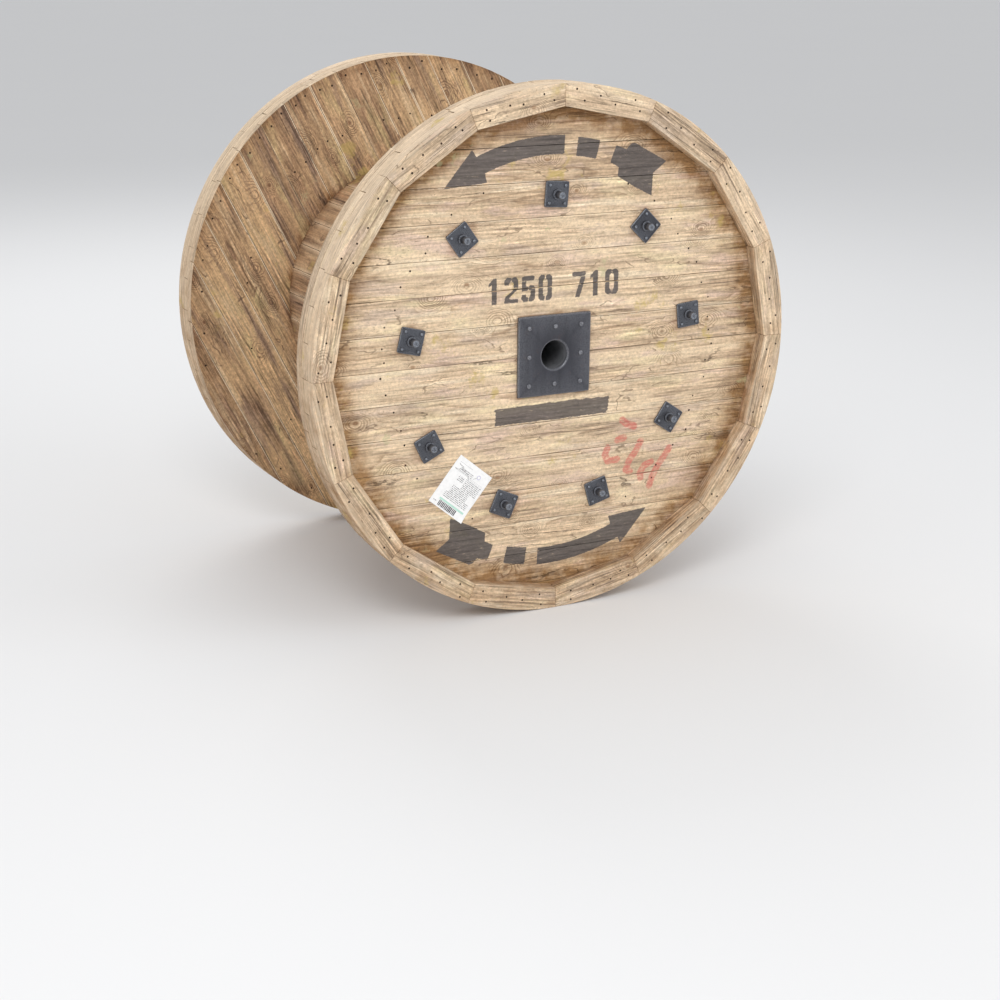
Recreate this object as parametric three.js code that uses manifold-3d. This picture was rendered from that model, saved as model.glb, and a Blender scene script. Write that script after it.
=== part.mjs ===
// Wooden cable drum, lying on the edges of its two flanges.
// Millimetres, +Z up. The drum's axis runs along Y, the front flange faces -Y.
//
// Each flange has a layer of inner boards, a layer of outer boards laid across it
// at an angle, and a rim of mitred felloes. The barrel is a ring of staves on two
// round heads. A steel tube joins the two centre plates and takes the spindle.
import * as THREE from 'three';
import { mergeVertices } from 'three/addons/utils/BufferGeometryUtils.js';
import Module from 'manifold-3d';

// ---------------------------------------------------------------- driving sizes

const FIT = 0.3; // clearance between two pieces that touch

// Flange
const FLANGE_RADIUS = 625;
const OUTER_BOARD_THICKNESS = 30;
const INNER_BOARD_THICKNESS = 30;
const BOARD_WIDTH = 81;
const NARROWEST_STRIP = 15; // a last strip thinner than this stays part of its neighbour
const BOARD_GAP = 3; // width of the open joint between two boards
const BOARD_GAP_DEPTH = 6; // how deep the joint is cut into each face
const INNER_BOARD_TURN = 63; // degrees from the outer boards to the inner ones

// Rim
const FELLOE_COUNT = 16;
const FELLOE_THICKNESS = 36;
const FELLOE_WIDTH = 62; // from the round edge to the middle of the straight inner chord
const FLATS_PER_FELLOE = 8; // flats that make up the round edge of one felloe

// Barrel
const WINDING_WIDTH = 745; // clear width between the two flanges
const BARREL_RADIUS = 355;
const STAVE_COUNT = 34;
const STAVE_THICKNESS = 28;
const STAVE_EASE = 2.2; // half the width of the V between two staves
const STAVE_JOINT_DEPTH = 5;
const FLATS_PER_STAVE = 3;
const BARREL_HEAD_THICKNESS = 30;
const HEAD_FLATS = 68;

// Spindle tube and centre plates
const SPINDLE_BORE_RADIUS = 34;
const TUBE_WALL = 4;
const BORE_FLATS = 32;
const CENTRE_PLATE_SIDE = 193;
const CENTRE_PLATE_THICKNESS = 8;
const CENTRE_PLATE_CHAMFER = 5;
const BORE_CHAMFER = 6; // how much wider the bore is at the plate's face
const BORE_CHAMFER_DEPTH = 4;

// Stud plates
const STUD_COUNT = 9;
const STUD_CIRCLE_RADIUS = 375;
const STUD_PLATE_SIDE = 60;
const STUD_PLATE_THICKNESS = 5;
const STUD_PLATE_CHAMFER = 2.5;
const STUD_PLATE_TWIST = 4; // degrees that each plate is nailed on out of square
const STUD_RADIUS = 8.5;
const STUD_HEIGHT = 26; // above its plate
const STUD_TIP_CHAMFER = 1.5;
const COLLAR_RADIUS = 12.5;
const COLLAR_HEIGHT = 4;
const COLLAR_CHAMFER = 1.5;
const STUD_FLATS = 16;

// ------------------------------------------------------- sizes that follow them

const degrees = THREE.MathUtils.degToRad;
const EDGE_FLATS = FELLOE_COUNT * FLATS_PER_FELLOE;
const EDGE_APOTHEM = FLANGE_RADIUS * Math.cos(Math.PI / EDGE_FLATS); // a flat lies on the floor
const TUBE_RADIUS = SPINDLE_BORE_RADIUS + TUBE_WALL;

// Heights above a flange's inner face
const OUTER_BOARDS_FROM = INNER_BOARD_THICKNESS + FIT;
const BOARD_FACE = OUTER_BOARDS_FROM + OUTER_BOARD_THICKNESS;
const FELLOES_FROM = BOARD_FACE + FIT;

const finish = (color, roughness, metalness) =>
  new THREE.MeshStandardMaterial({ color, roughness, metalness });
const RIM_TIMBER = finish(0xd8bf9a, 0.8, 0);
const PALE_BOARDS = finish(0xcfb288, 0.8, 0);
const BROWN_BOARDS = finish(0x9a7d5b, 0.85, 0);
const STAVE_TIMBER = finish(0xa0835f, 0.85, 0);
const HEAD_TIMBER = finish(0xb09670, 0.85, 0);
const IRON = finish(0x50525c, 0.55, 0.8);
const TUBE_STEEL = finish(0x3f434b, 0.5, 0.9);

// --------------------------------------------------------------- solid modelling

const wasm = await Module();
wasm.setup();

/** A solid for cutting and joining, with the shape of a closed geometry. */
function solidOf(geometry) {
  const bare = new THREE.BufferGeometry();
  bare.setAttribute('position', geometry.getAttribute('position'));
  bare.setIndex(geometry.getIndex());
  const welded = mergeVertices(bare, 1e-4);
  return new wasm.Manifold(new wasm.Mesh({
    numProp: 3,
    vertProperties: new Float32Array(welded.getAttribute('position').array),
    triVerts: new Uint32Array(welded.getIndex().array),
  }));
}

/** The flat-shaded geometry of a solid. */
function geometryOf(solid) {
  const { vertProperties, triVerts } = solid.getMesh();
  const shared = new THREE.BufferGeometry();
  shared.setAttribute('position', new THREE.BufferAttribute(new Float32Array(vertProperties), 3));
  shared.setIndex(new THREE.BufferAttribute(new Uint32Array(triVerts), 1));
  const geometry = shared.toNonIndexed();
  geometry.computeVertexNormals();
  return geometry;
}

/** The point at a radius, at an angle clockwise from 12 o'clock. */
const onClock = (radius, angle) =>
  new THREE.Vector2(radius * Math.sin(angle), radius * Math.cos(angle));

/** A flat piece: its outline, with height z upwards. */
const extrude = (outline, height) =>
  new THREE.ExtrudeGeometry(outline, { depth: height, bevelEnabled: false });

/** A turned piece about z, from (radius, z) points that start and end on the axis or meet. */
function turn(points, flats) {
  const profile = points.map(([radius, z]) => new THREE.Vector2(radius, z));
  return new THREE.LatheGeometry(profile, flats).rotateX(Math.PI / 2);
}

/** A round bar from one height to another, for cutting bores. */
const bar = (radius, from, to) =>
  turn([[0, from], [radius, from], [radius, to], [0, to]], BORE_FLATS);

/** A square plate on z = 0 with a chamfer round its upper face. */
function squarePlate(side, thickness, chamfer) {
  const reach = side * Math.SQRT1_2;
  const inset = chamfer * Math.SQRT2;
  return turn([
    [0, 0], [reach, 0], [reach, thickness - chamfer], [reach - inset, thickness], [0, thickness],
  ], 4).rotateZ(Math.PI / 4);
}

// ------------------------------------------------------------------------ flange

/** The flange's round edge, as corners that leave a flat at each quarter of the clock. */
function flangeOutline() {
  const step = (2 * Math.PI) / EDGE_FLATS;
  const corners = [];
  for (let k = 0; k < EDGE_FLATS; k++) corners.push(onClock(FLANGE_RADIUS, (k + 0.5) * step));
  return new THREE.Shape(corners);
}

/** Section across a layer of boards laid edge to edge, with every joint cut into both faces. */
function boardSection(thickness) {
  const reach = FLANGE_RADIUS + BOARD_GAP;
  const joints = Math.floor((FLANGE_RADIUS - NARROWEST_STRIP) / BOARD_WIDTH);
  const section = new THREE.Shape();
  const face = (from, direction, height, floor) => {
    section.lineTo(from, height);
    for (let j = -joints; j <= joints; j++) {
      const middle = direction * j * BOARD_WIDTH;
      const half = (direction * BOARD_GAP) / 2;
      section.lineTo(middle - half, height).lineTo(middle - half, floor);
      section.lineTo(middle + half, floor).lineTo(middle + half, height);
    }
    section.lineTo(-from, height);
  };
  section.moveTo(-reach, thickness / 2);
  face(-reach, 1, 0, BOARD_GAP_DEPTH);
  face(reach, -1, thickness, thickness - BOARD_GAP_DEPTH);
  return section;
}

/** One layer of a flange: boards sawn round, with the bore for the spindle tube. */
function boardLayer(thickness, turned) {
  const acrossToY = new THREE.Matrix4().makeBasis(
    new THREE.Vector3(0, 1, 0), new THREE.Vector3(0, 0, 1), new THREE.Vector3(1, 0, 0));
  const laid = extrude(boardSection(thickness), 2 * FLANGE_RADIUS)
    .translate(0, 0, -FLANGE_RADIUS)
    .applyMatrix4(acrossToY)
    .rotateZ(degrees(turned));
  const sawn = solidOf(laid).intersect(solidOf(extrude(flangeOutline(), thickness)));
  return geometryOf(sawn.subtract(solidOf(bar(TUBE_RADIUS + FIT, -1, thickness + 1))));
}

/** One rim segment, centred on 12 o'clock: straight inside, round outside, mitred ends. */
function felloe() {
  const half = Math.PI / FELLOE_COUNT;
  const step = (2 * Math.PI) / EDGE_FLATS;
  const inner = FLANGE_RADIUS - FELLOE_WIDTH;
  const clearance = new THREE.Vector2(-Math.cos(half), Math.sin(half)).multiplyScalar(FIT / 2);
  const along = (inner - clearance.y) / Math.cos(half);
  const innerCorner = onClock(along, half).add(clearance);
  const outerCorner = onClock(EDGE_APOTHEM, half).add(clearance);
  const mirrored = (corner) => new THREE.Vector2(-corner.x, corner.y);
  const outline = [mirrored(innerCorner), mirrored(outerCorner)];
  for (let k = 0; k < FLATS_PER_FELLOE; k++) {
    outline.push(onClock(FLANGE_RADIUS, (k + 0.5) * step - half));
  }
  outline.push(outerCorner, innerCorner);
  return extrude(new THREE.Shape(outline), FELLOE_THICKNESS);
}

/** Chamfered square plate with the chamfered spindle bore. */
function centrePlate() {
  const top = CENTRE_PLATE_THICKNESS;
  const flare = BORE_CHAMFER / BORE_CHAMFER_DEPTH; // widening for each millimetre up
  const bore = turn([
    [0, -1],
    [SPINDLE_BORE_RADIUS, -1],
    [SPINDLE_BORE_RADIUS, top - BORE_CHAMFER_DEPTH],
    [SPINDLE_BORE_RADIUS + BORE_CHAMFER + flare, top + 1],
    [0, top + 1],
  ], BORE_FLATS);
  const plate = squarePlate(CENTRE_PLATE_SIDE, CENTRE_PLATE_THICKNESS, CENTRE_PLATE_CHAMFER);
  return geometryOf(solidOf(plate).subtract(solidOf(bore)));
}

/** Cast plate with a smooth stud that rises from a collar. */
function studPlate() {
  const face = STUD_PLATE_THICKNESS;
  const root = face / 2;
  const tip = face + STUD_HEIGHT;
  const stud = turn([
    [0, root],
    [COLLAR_RADIUS, root],
    [COLLAR_RADIUS, face + COLLAR_HEIGHT - COLLAR_CHAMFER],
    [COLLAR_RADIUS - COLLAR_CHAMFER, face + COLLAR_HEIGHT],
    [STUD_RADIUS, face + COLLAR_HEIGHT],
    [STUD_RADIUS, tip - STUD_TIP_CHAMFER],
    [STUD_RADIUS - STUD_TIP_CHAMFER, tip],
    [0, tip],
  ], STUD_FLATS);
  const plate = squarePlate(STUD_PLATE_SIDE, STUD_PLATE_THICKNESS, STUD_PLATE_CHAMFER);
  return geometryOf(solidOf(plate).add(solidOf(stud)));
}

/** A named piece of the drum. */
function piece(name, geometry, material) {
  const mesh = new THREE.Mesh(geometry, material);
  mesh.name = name;
  return mesh;
}

/** A flange with its inner face on z = 0 and its outside facing +z, 12 o'clock towards +y. */
function flange(side) {
  const group = new THREE.Group();

  group.add(piece(`${side}_inner_boards`, boardLayer(INNER_BOARD_THICKNESS, INNER_BOARD_TURN),
    BROWN_BOARDS));

  const outer = piece(`${side}_outer_boards`, boardLayer(OUTER_BOARD_THICKNESS, 0), PALE_BOARDS);
  outer.position.z = OUTER_BOARDS_FROM;
  group.add(outer);

  const segment = felloe();
  for (let i = 0; i < FELLOE_COUNT; i++) {
    const number = String(i + 1).padStart(2, '0');
    const rimPiece = piece(`${side}_felloe_${number}`, segment, RIM_TIMBER);
    rimPiece.position.z = FELLOES_FROM;
    rimPiece.rotation.z = -((i + 0.5) * 2 * Math.PI) / FELLOE_COUNT;
    group.add(rimPiece);
  }

  const plate = piece(`${side}_centre_plate`, centrePlate(), IRON);
  plate.position.z = BOARD_FACE + FIT;
  group.add(plate);

  const studded = studPlate();
  for (let i = 0; i < STUD_COUNT; i++) {
    const angle = (i * 2 * Math.PI) / STUD_COUNT;
    const stud = piece(`${side}_stud_plate_${i + 1}`, studded, IRON);
    const place = onClock(STUD_CIRCLE_RADIUS, angle);
    stud.position.set(place.x, place.y, BOARD_FACE + FIT);
    stud.rotation.z = -(angle + degrees(STUD_PLATE_TWIST));
    group.add(stud);
  }
  return group;
}

// ------------------------------------------------------------------------ barrel

/** The ring of staves: round outside, flat inside, with a V along each joint on both faces. */
function staveRing(length) {
  const step = (2 * Math.PI) / STAVE_COUNT;
  const innerApothem = BARREL_RADIUS - STAVE_THICKNESS;
  const innerCorner = innerApothem / Math.cos(step / 2);
  const easeOut = STAVE_EASE / BARREL_RADIUS;
  const easeIn = STAVE_EASE / innerCorner;
  const outside = [];
  const inside = [];
  for (let i = 0; i < STAVE_COUNT; i++) {
    const joint = i * step;
    outside.push(onClock(BARREL_RADIUS - STAVE_JOINT_DEPTH, joint));
    for (let k = 0; k <= FLATS_PER_STAVE; k++) {
      const angle = joint + easeOut + (k / FLATS_PER_STAVE) * (step - 2 * easeOut);
      outside.push(onClock(BARREL_RADIUS, angle));
    }
    inside.push(onClock(innerCorner + STAVE_JOINT_DEPTH, joint));
    for (const angle of [joint + easeIn, joint + step - easeIn]) {
      inside.push(onClock(innerApothem / Math.cos(angle - joint - step / 2), angle));
    }
  }
  const hollow = extrude(new THREE.Shape(inside), length + 2).translate(0, 0, -1);
  const ring = solidOf(extrude(new THREE.Shape(outside), length)).subtract(solidOf(hollow));
  return geometryOf(ring);
}

/** Round head that carries the stave ends, bored for the spindle tube. */
function barrelHead() {
  const radius = BARREL_RADIUS - STAVE_THICKNESS - FIT;
  const height = BARREL_HEAD_THICKNESS;
  const disc = turn([[0, 0], [radius, 0], [radius, height], [0, height]], HEAD_FLATS);
  return geometryOf(solidOf(disc).subtract(solidOf(bar(TUBE_RADIUS + FIT, -1, height + 1))));
}

/** The barrel between the flanges, centred on the origin with its axis along z. */
function barrel() {
  const group = new THREE.Group();
  const length = WINDING_WIDTH - 2 * FIT;

  const staves = piece('barrel_staves', staveRing(length), STAVE_TIMBER);
  staves.position.z = -length / 2;
  group.add(staves);

  const back = piece('back_barrel_head', barrelHead(), HEAD_TIMBER);
  back.position.z = -length / 2;
  const front = piece('front_barrel_head', barrelHead(), HEAD_TIMBER);
  front.position.z = length / 2 - BARREL_HEAD_THICKNESS;
  group.add(back, front);

  const tubeEnd = WINDING_WIDTH / 2 + BOARD_FACE;
  group.add(piece('hub_tube', turn([
    [SPINDLE_BORE_RADIUS, -tubeEnd], [TUBE_RADIUS, -tubeEnd],
    [TUBE_RADIUS, tubeEnd], [SPINDLE_BORE_RADIUS, tubeEnd],
    [SPINDLE_BORE_RADIUS, -tubeEnd],
  ], BORE_FLATS), TUBE_STEEL));
  return group;
}

// -------------------------------------------------------------------------- drum

const axle = new THREE.Group(); // z along the drum's axis, out of the front face
axle.rotation.x = Math.PI / 2;
axle.position.z = EDGE_APOTHEM;

const front = flange('front');
front.position.z = WINDING_WIDTH / 2;

const back = flange('back');
back.position.z = -WINDING_WIDTH / 2;
back.rotation.y = Math.PI;

axle.add(front, barrel(), back);

const drum = new THREE.Group();
drum.add(axle);

export default drum;
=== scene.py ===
"""Wooden cable drum: two round timber flanges on a barrel of staves, lying on its rims.

Everything is in metres, +Z up. The drum's axis runs along Y and the marked flange faces -Y.
"""

import logging
import math
import random
from dataclasses import dataclass
from enum import Enum
from itertools import product
from typing import Callable, ClassVar, Iterable, Mapping, Optional, Sequence, Union

import bmesh
import bpy
import numpy as np
from mathutils import Matrix, Vector, noise


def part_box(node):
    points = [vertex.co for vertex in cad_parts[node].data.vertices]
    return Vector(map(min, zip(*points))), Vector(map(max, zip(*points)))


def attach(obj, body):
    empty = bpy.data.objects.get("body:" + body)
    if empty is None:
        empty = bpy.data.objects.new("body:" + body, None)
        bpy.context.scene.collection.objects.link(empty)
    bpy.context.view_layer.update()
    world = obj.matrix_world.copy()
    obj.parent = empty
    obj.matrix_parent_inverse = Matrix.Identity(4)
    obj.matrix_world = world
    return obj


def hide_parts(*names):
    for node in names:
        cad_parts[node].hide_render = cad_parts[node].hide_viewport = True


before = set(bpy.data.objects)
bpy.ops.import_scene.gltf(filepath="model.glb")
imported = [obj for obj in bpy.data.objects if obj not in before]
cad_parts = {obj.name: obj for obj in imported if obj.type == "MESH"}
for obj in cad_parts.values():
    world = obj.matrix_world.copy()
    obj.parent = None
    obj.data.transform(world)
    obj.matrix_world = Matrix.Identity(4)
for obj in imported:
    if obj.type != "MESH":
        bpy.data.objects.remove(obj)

log = logging.getLogger("cable_drum")
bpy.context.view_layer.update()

MM = 0.001
FULL_TURN = 2 * math.pi
HANDS = (-1, 1)  # left and right, or lower and upper
Colour = tuple[float, float, float]
Point = tuple[float, float]
Term = Union["Value", float, tuple]
Inputs = Mapping[Union[str, int], Term]
Places = Union[float, np.ndarray]
Field = Callable[[np.ndarray], np.ndarray]


# --------------------------------------------------------------------------- sizes


@dataclass(frozen=True)
class DrumSizes:
    """Main sizes of the drum, in metres.

    Heights in a flange are measured outwards from its inner face.
    """

    radius: float = 0.625
    edge_flats: int = 128
    winding_width: float = 0.745
    board_width: float = 0.081
    board_thickness: float = 0.030
    inner_turn: float = 63.0  # degrees from the outer boards to the inner ones
    outer_from: float = 0.0303
    board_face: float = 0.0603
    felloe_from: float = 0.0606
    felloe_thickness: float = 0.036
    felloe_width: float = 0.062
    felloes: int = 16
    barrel_radius: float = 0.355
    stave_thickness: float = 0.028
    staves: int = 34
    stud_circle: float = 0.375
    stud_half: float = 0.030
    stud_twist: float = 4.0  # degrees that each stud plate is out of square
    studs: int = 9
    plate_half: float = 0.0965
    bore_radius: float = 0.034

    @property
    def apothem(self) -> float:
        """Distance from the axle to the flats of the rim."""
        return self.radius * math.cos(math.pi / self.edge_flats)


SIZES = DrumSizes()


class Side(Enum):
    """The flange that a piece belongs to: the marked front one or the plain back one."""

    FRONT = "front"
    BACK = "back"

    @property
    def matrix(self) -> Matrix:
        """The flange's place in the drum.

        Returns:
            The matrix from flange coordinates (right, up, outwards) to the drum's frame.
        """
        turn = -1.0 if self is Side.FRONT else 1.0
        columns = ((-turn, 0, 0), (0, 0, 1), (0, turn, 0))
        matrix = Matrix([list(row) for row in zip(*columns)]).to_4x4()
        matrix.translation = (0, turn * SIZES.winding_width / 2, SIZES.apothem)
        return matrix


# --------------------------------------------------------------------------- shader graphs


class Value:
    """A number, vector or colour of a shader tree. Arithmetic on it adds nodes to the tree."""

    def __init__(self, graph: "Graph", socket: bpy.types.NodeSocket) -> None:
        """Keeps the graph and the output socket."""
        self.graph, self.socket = graph, socket

    def __add__(self, other: Term) -> "Value":
        """The sum."""
        return self.graph.math("ADD", self, other)

    def __sub__(self, other: Term) -> "Value":
        """The difference."""
        return self.graph.math("SUBTRACT", self, other)

    def __rsub__(self, other: Term) -> "Value":
        """The difference from a plain number."""
        return self.graph.math("SUBTRACT", other, self)

    def __mul__(self, other: Term) -> "Value":
        """The product."""
        return self.graph.math("MULTIPLY", self, other)

    def __truediv__(self, other: Term) -> "Value":
        """The quotient."""
        return self.graph.math("DIVIDE", self, other)

    def __abs__(self) -> "Value":
        """The value without its sign."""
        return self.graph.math("ABSOLUTE", self)

    def line(self, slope: Term, start: Term) -> "Value":
        """The value times the slope, plus the start."""
        return self.graph.math("MULTIPLY_ADD", self, slope, start)

    def most(self, other: Term) -> "Value":
        """The greater of two numbers."""
        return self.graph.math("MAXIMUM", self, other)

    def over(self, level: Term) -> "Value":
        """1 where the number is above the level, 0 elsewhere."""
        return self.graph.math("GREATER_THAN", self, level)

    def under(self, level: Term) -> "Value":
        """1 where the number is below the level, 0 elsewhere."""
        return self.graph.math("LESS_THAN", self, level)

    def clipped(self) -> "Value":
        """Keeps the result of the last Math node between 0 and 1."""
        self.socket.node.use_clamp = True
        return self

    def split(self) -> tuple["Value", ...]:
        """The three numbers of a vector or colour."""
        return self.graph.outputs("SeparateXYZ", {0: self})

    def ramp(self, low: float, high: float, start: float = 0.0, end: float = 1.0) -> "Value":
        """Maps a range smoothly to another one, and stops at its ends.

        Args:
            low: where the ramp starts.
            high: where it ends.
            start: the result at its start.
            end: the result at its end.

        Returns:
            The mapped number.
        """
        feeds = {"Value": self, "From Min": low, "From Max": high, "To Min": start, "To Max": end}
        return self.graph.outputs("MapRange", feeds, interpolation_type="SMOOTHSTEP")[0]


class Graph:
    """Adds nodes to one shader tree and wires them together."""

    def __init__(self, tree: bpy.types.NodeTree) -> None:
        """Keeps the tree of a material, a world or a node group."""
        self.tree = tree

    def feed(self, target: bpy.types.NodeSocket, value: Term) -> None:
        """Links an input socket to a value, or sets it.

        Args:
            target: the input socket.
            value: a value of the graph, a number or a tuple.
        """
        if isinstance(value, Value):
            self.tree.links.new(value.socket, target)
        else:
            target.default_value = (*value, 1.0) if target.type == "RGBA" else value

    def outputs(self, kind: str, feeds: Optional[Inputs] = None,
                **settings: object) -> tuple[Value, ...]:
        """Adds a node, sets its properties and feeds its inputs.

        Args:
            kind: the node's type name without its ShaderNode prefix.
            feeds: values by the name or number of the input.
            **settings: properties of the node.

        Returns:
            The node's outputs.
        """
        node = self.tree.nodes.new("ShaderNode" + kind)
        for name, value in settings.items():
            setattr(node, name, value)
        for key, value in (feeds or {}).items():
            self.feed(node.inputs[key], value)
        return tuple(Value(self, socket) for socket in node.outputs)

    def math(self, operation: str, *values: Term) -> Value:
        """Adds a Math node, or a Vector Math node where one of the values is a vector.

        Args:
            operation: the node's operation.
            *values: its inputs.

        Returns:
            The result.
        """
        vector = any(isinstance(v, tuple) or isinstance(v, Value) and v.socket.type != "VALUE"
                     for v in values)
        found = self.outputs("VectorMath" if vector else "Math", dict(enumerate(values)),
                             operation=operation)
        return found[1 if operation == "LENGTH" else 0]

    def join(self, x: Term, y: Term, z: Term) -> Value:
        """A vector of three numbers."""
        return self.outputs("CombineXYZ", {0: x, 1: y, 2: z})[0]

    def noise(self, place: Value, detail: float, rough: float = 0.5,
              colour: bool = False) -> Value:
        """Adds a Noise Texture whose scale is already in its place.

        Args:
            place: the place, scaled.
            detail: how many octaves.
            rough: how much the finer octaves weigh.
            colour: gives three noises instead of one.

        Returns:
            The noise, about 0.5.
        """
        feeds = {"Vector": place, "Scale": 1.0, "Detail": detail, "Roughness": rough}
        return self.outputs("TexNoise", feeds, noise_dimensions="3D")[1 if colour else 0]

    def mix(self, share: Term, first: Term, second: Term, blend: str = "MIX") -> Value:
        """Mixes two colours.

        Args:
            share: the share of the second.
            first: colour at 0.
            second: colour at 1.
            blend: the way of mixing.

        Returns:
            The mixed colour.
        """
        feeds = {0: share, 6: first, 7: second}
        return self.outputs("Mix", feeds, data_type="RGBA", blend_type=blend)[2]

    def shaded(self, colour: Term, shade: Value) -> Value:
        """A colour times a number."""
        return self.mix(1.0, colour, self.join(shade, shade, shade), "MULTIPLY")

    def attribute(self, name: str, vector: bool = False) -> Value:
        """Reads an attribute of the piece's mesh.

        Args:
            name: the attribute's name.
            vector: gives a vector instead of a number.

        Returns:
            The attribute's value.
        """
        found = self.outputs("Attribute", attribute_type="GEOMETRY", attribute_name=name)
        return next(v for v in found if v.socket.name == ("Vector" if vector else "Fac"))

    def place(self) -> Value:
        """The surface point in the drum's frame."""
        return next(v for v in self.outputs("TexCoord") if v.socket.name == "Object")

    def use(self, effect: type["EffectGroup"], **values: Term) -> dict[str, Value]:
        """Places an effect's node group and feeds its inputs.

        Args:
            effect: the effect.
            **values: inputs by name, with _ for a space.

        Returns:
            The group's outputs by name.
        """
        feeds = {name.replace("_", " "): value for name, value in values.items()}
        found = self.outputs("Group", feeds, node_tree=effect.tree())
        return {value.socket.name: value for value in found}


FLOAT, VECTOR, COLOUR = "NodeSocketFloat", "NodeSocketVector", "NodeSocketColor"


class EffectGroup:
    """A shader node group with named inputs and outputs, which materials share."""

    inputs: ClassVar[dict[str, tuple[str, Optional[float]]]] = {}
    outputs: ClassVar[dict[str, str]] = {}
    title: ClassVar[str] = ""
    _made: ClassVar[dict[str, bpy.types.NodeTree]] = {}

    @classmethod
    def tree(cls) -> bpy.types.NodeTree:
        """The node group, built the first time that it is asked for.

        Returns:
            The group's tree.
        """
        if cls.title not in EffectGroup._made:
            tree = bpy.data.node_groups.new(cls.title, "ShaderNodeTree")
            for name, (kind, value) in cls.inputs.items():
                socket = tree.interface.new_socket(name, in_out="INPUT", socket_type=kind)
                if value is not None:
                    socket.default_value = value
            for name, kind in cls.outputs.items():
                tree.interface.new_socket(name, in_out="OUTPUT", socket_type=kind)
            graph = Graph(tree)
            source = tree.nodes.new("NodeGroupInput")
            target = tree.nodes.new("NodeGroupOutput")
            given = {s.name: Value(graph, s) for s in source.outputs if s.name}
            for name, value in cls.build(graph, given).items():
                graph.feed(target.inputs[name], value)
            EffectGroup._made[cls.title] = tree
        return EffectGroup._made[cls.title]

    @classmethod
    def build(cls, graph: Graph, given: dict[str, Value]) -> dict[str, Value]:
        """Wires the group.

        Args:
            graph: the group's graph.
            given: the group's inputs by name.

        Returns:
            The group's outputs by name.
        """
        raise NotImplementedError


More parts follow.
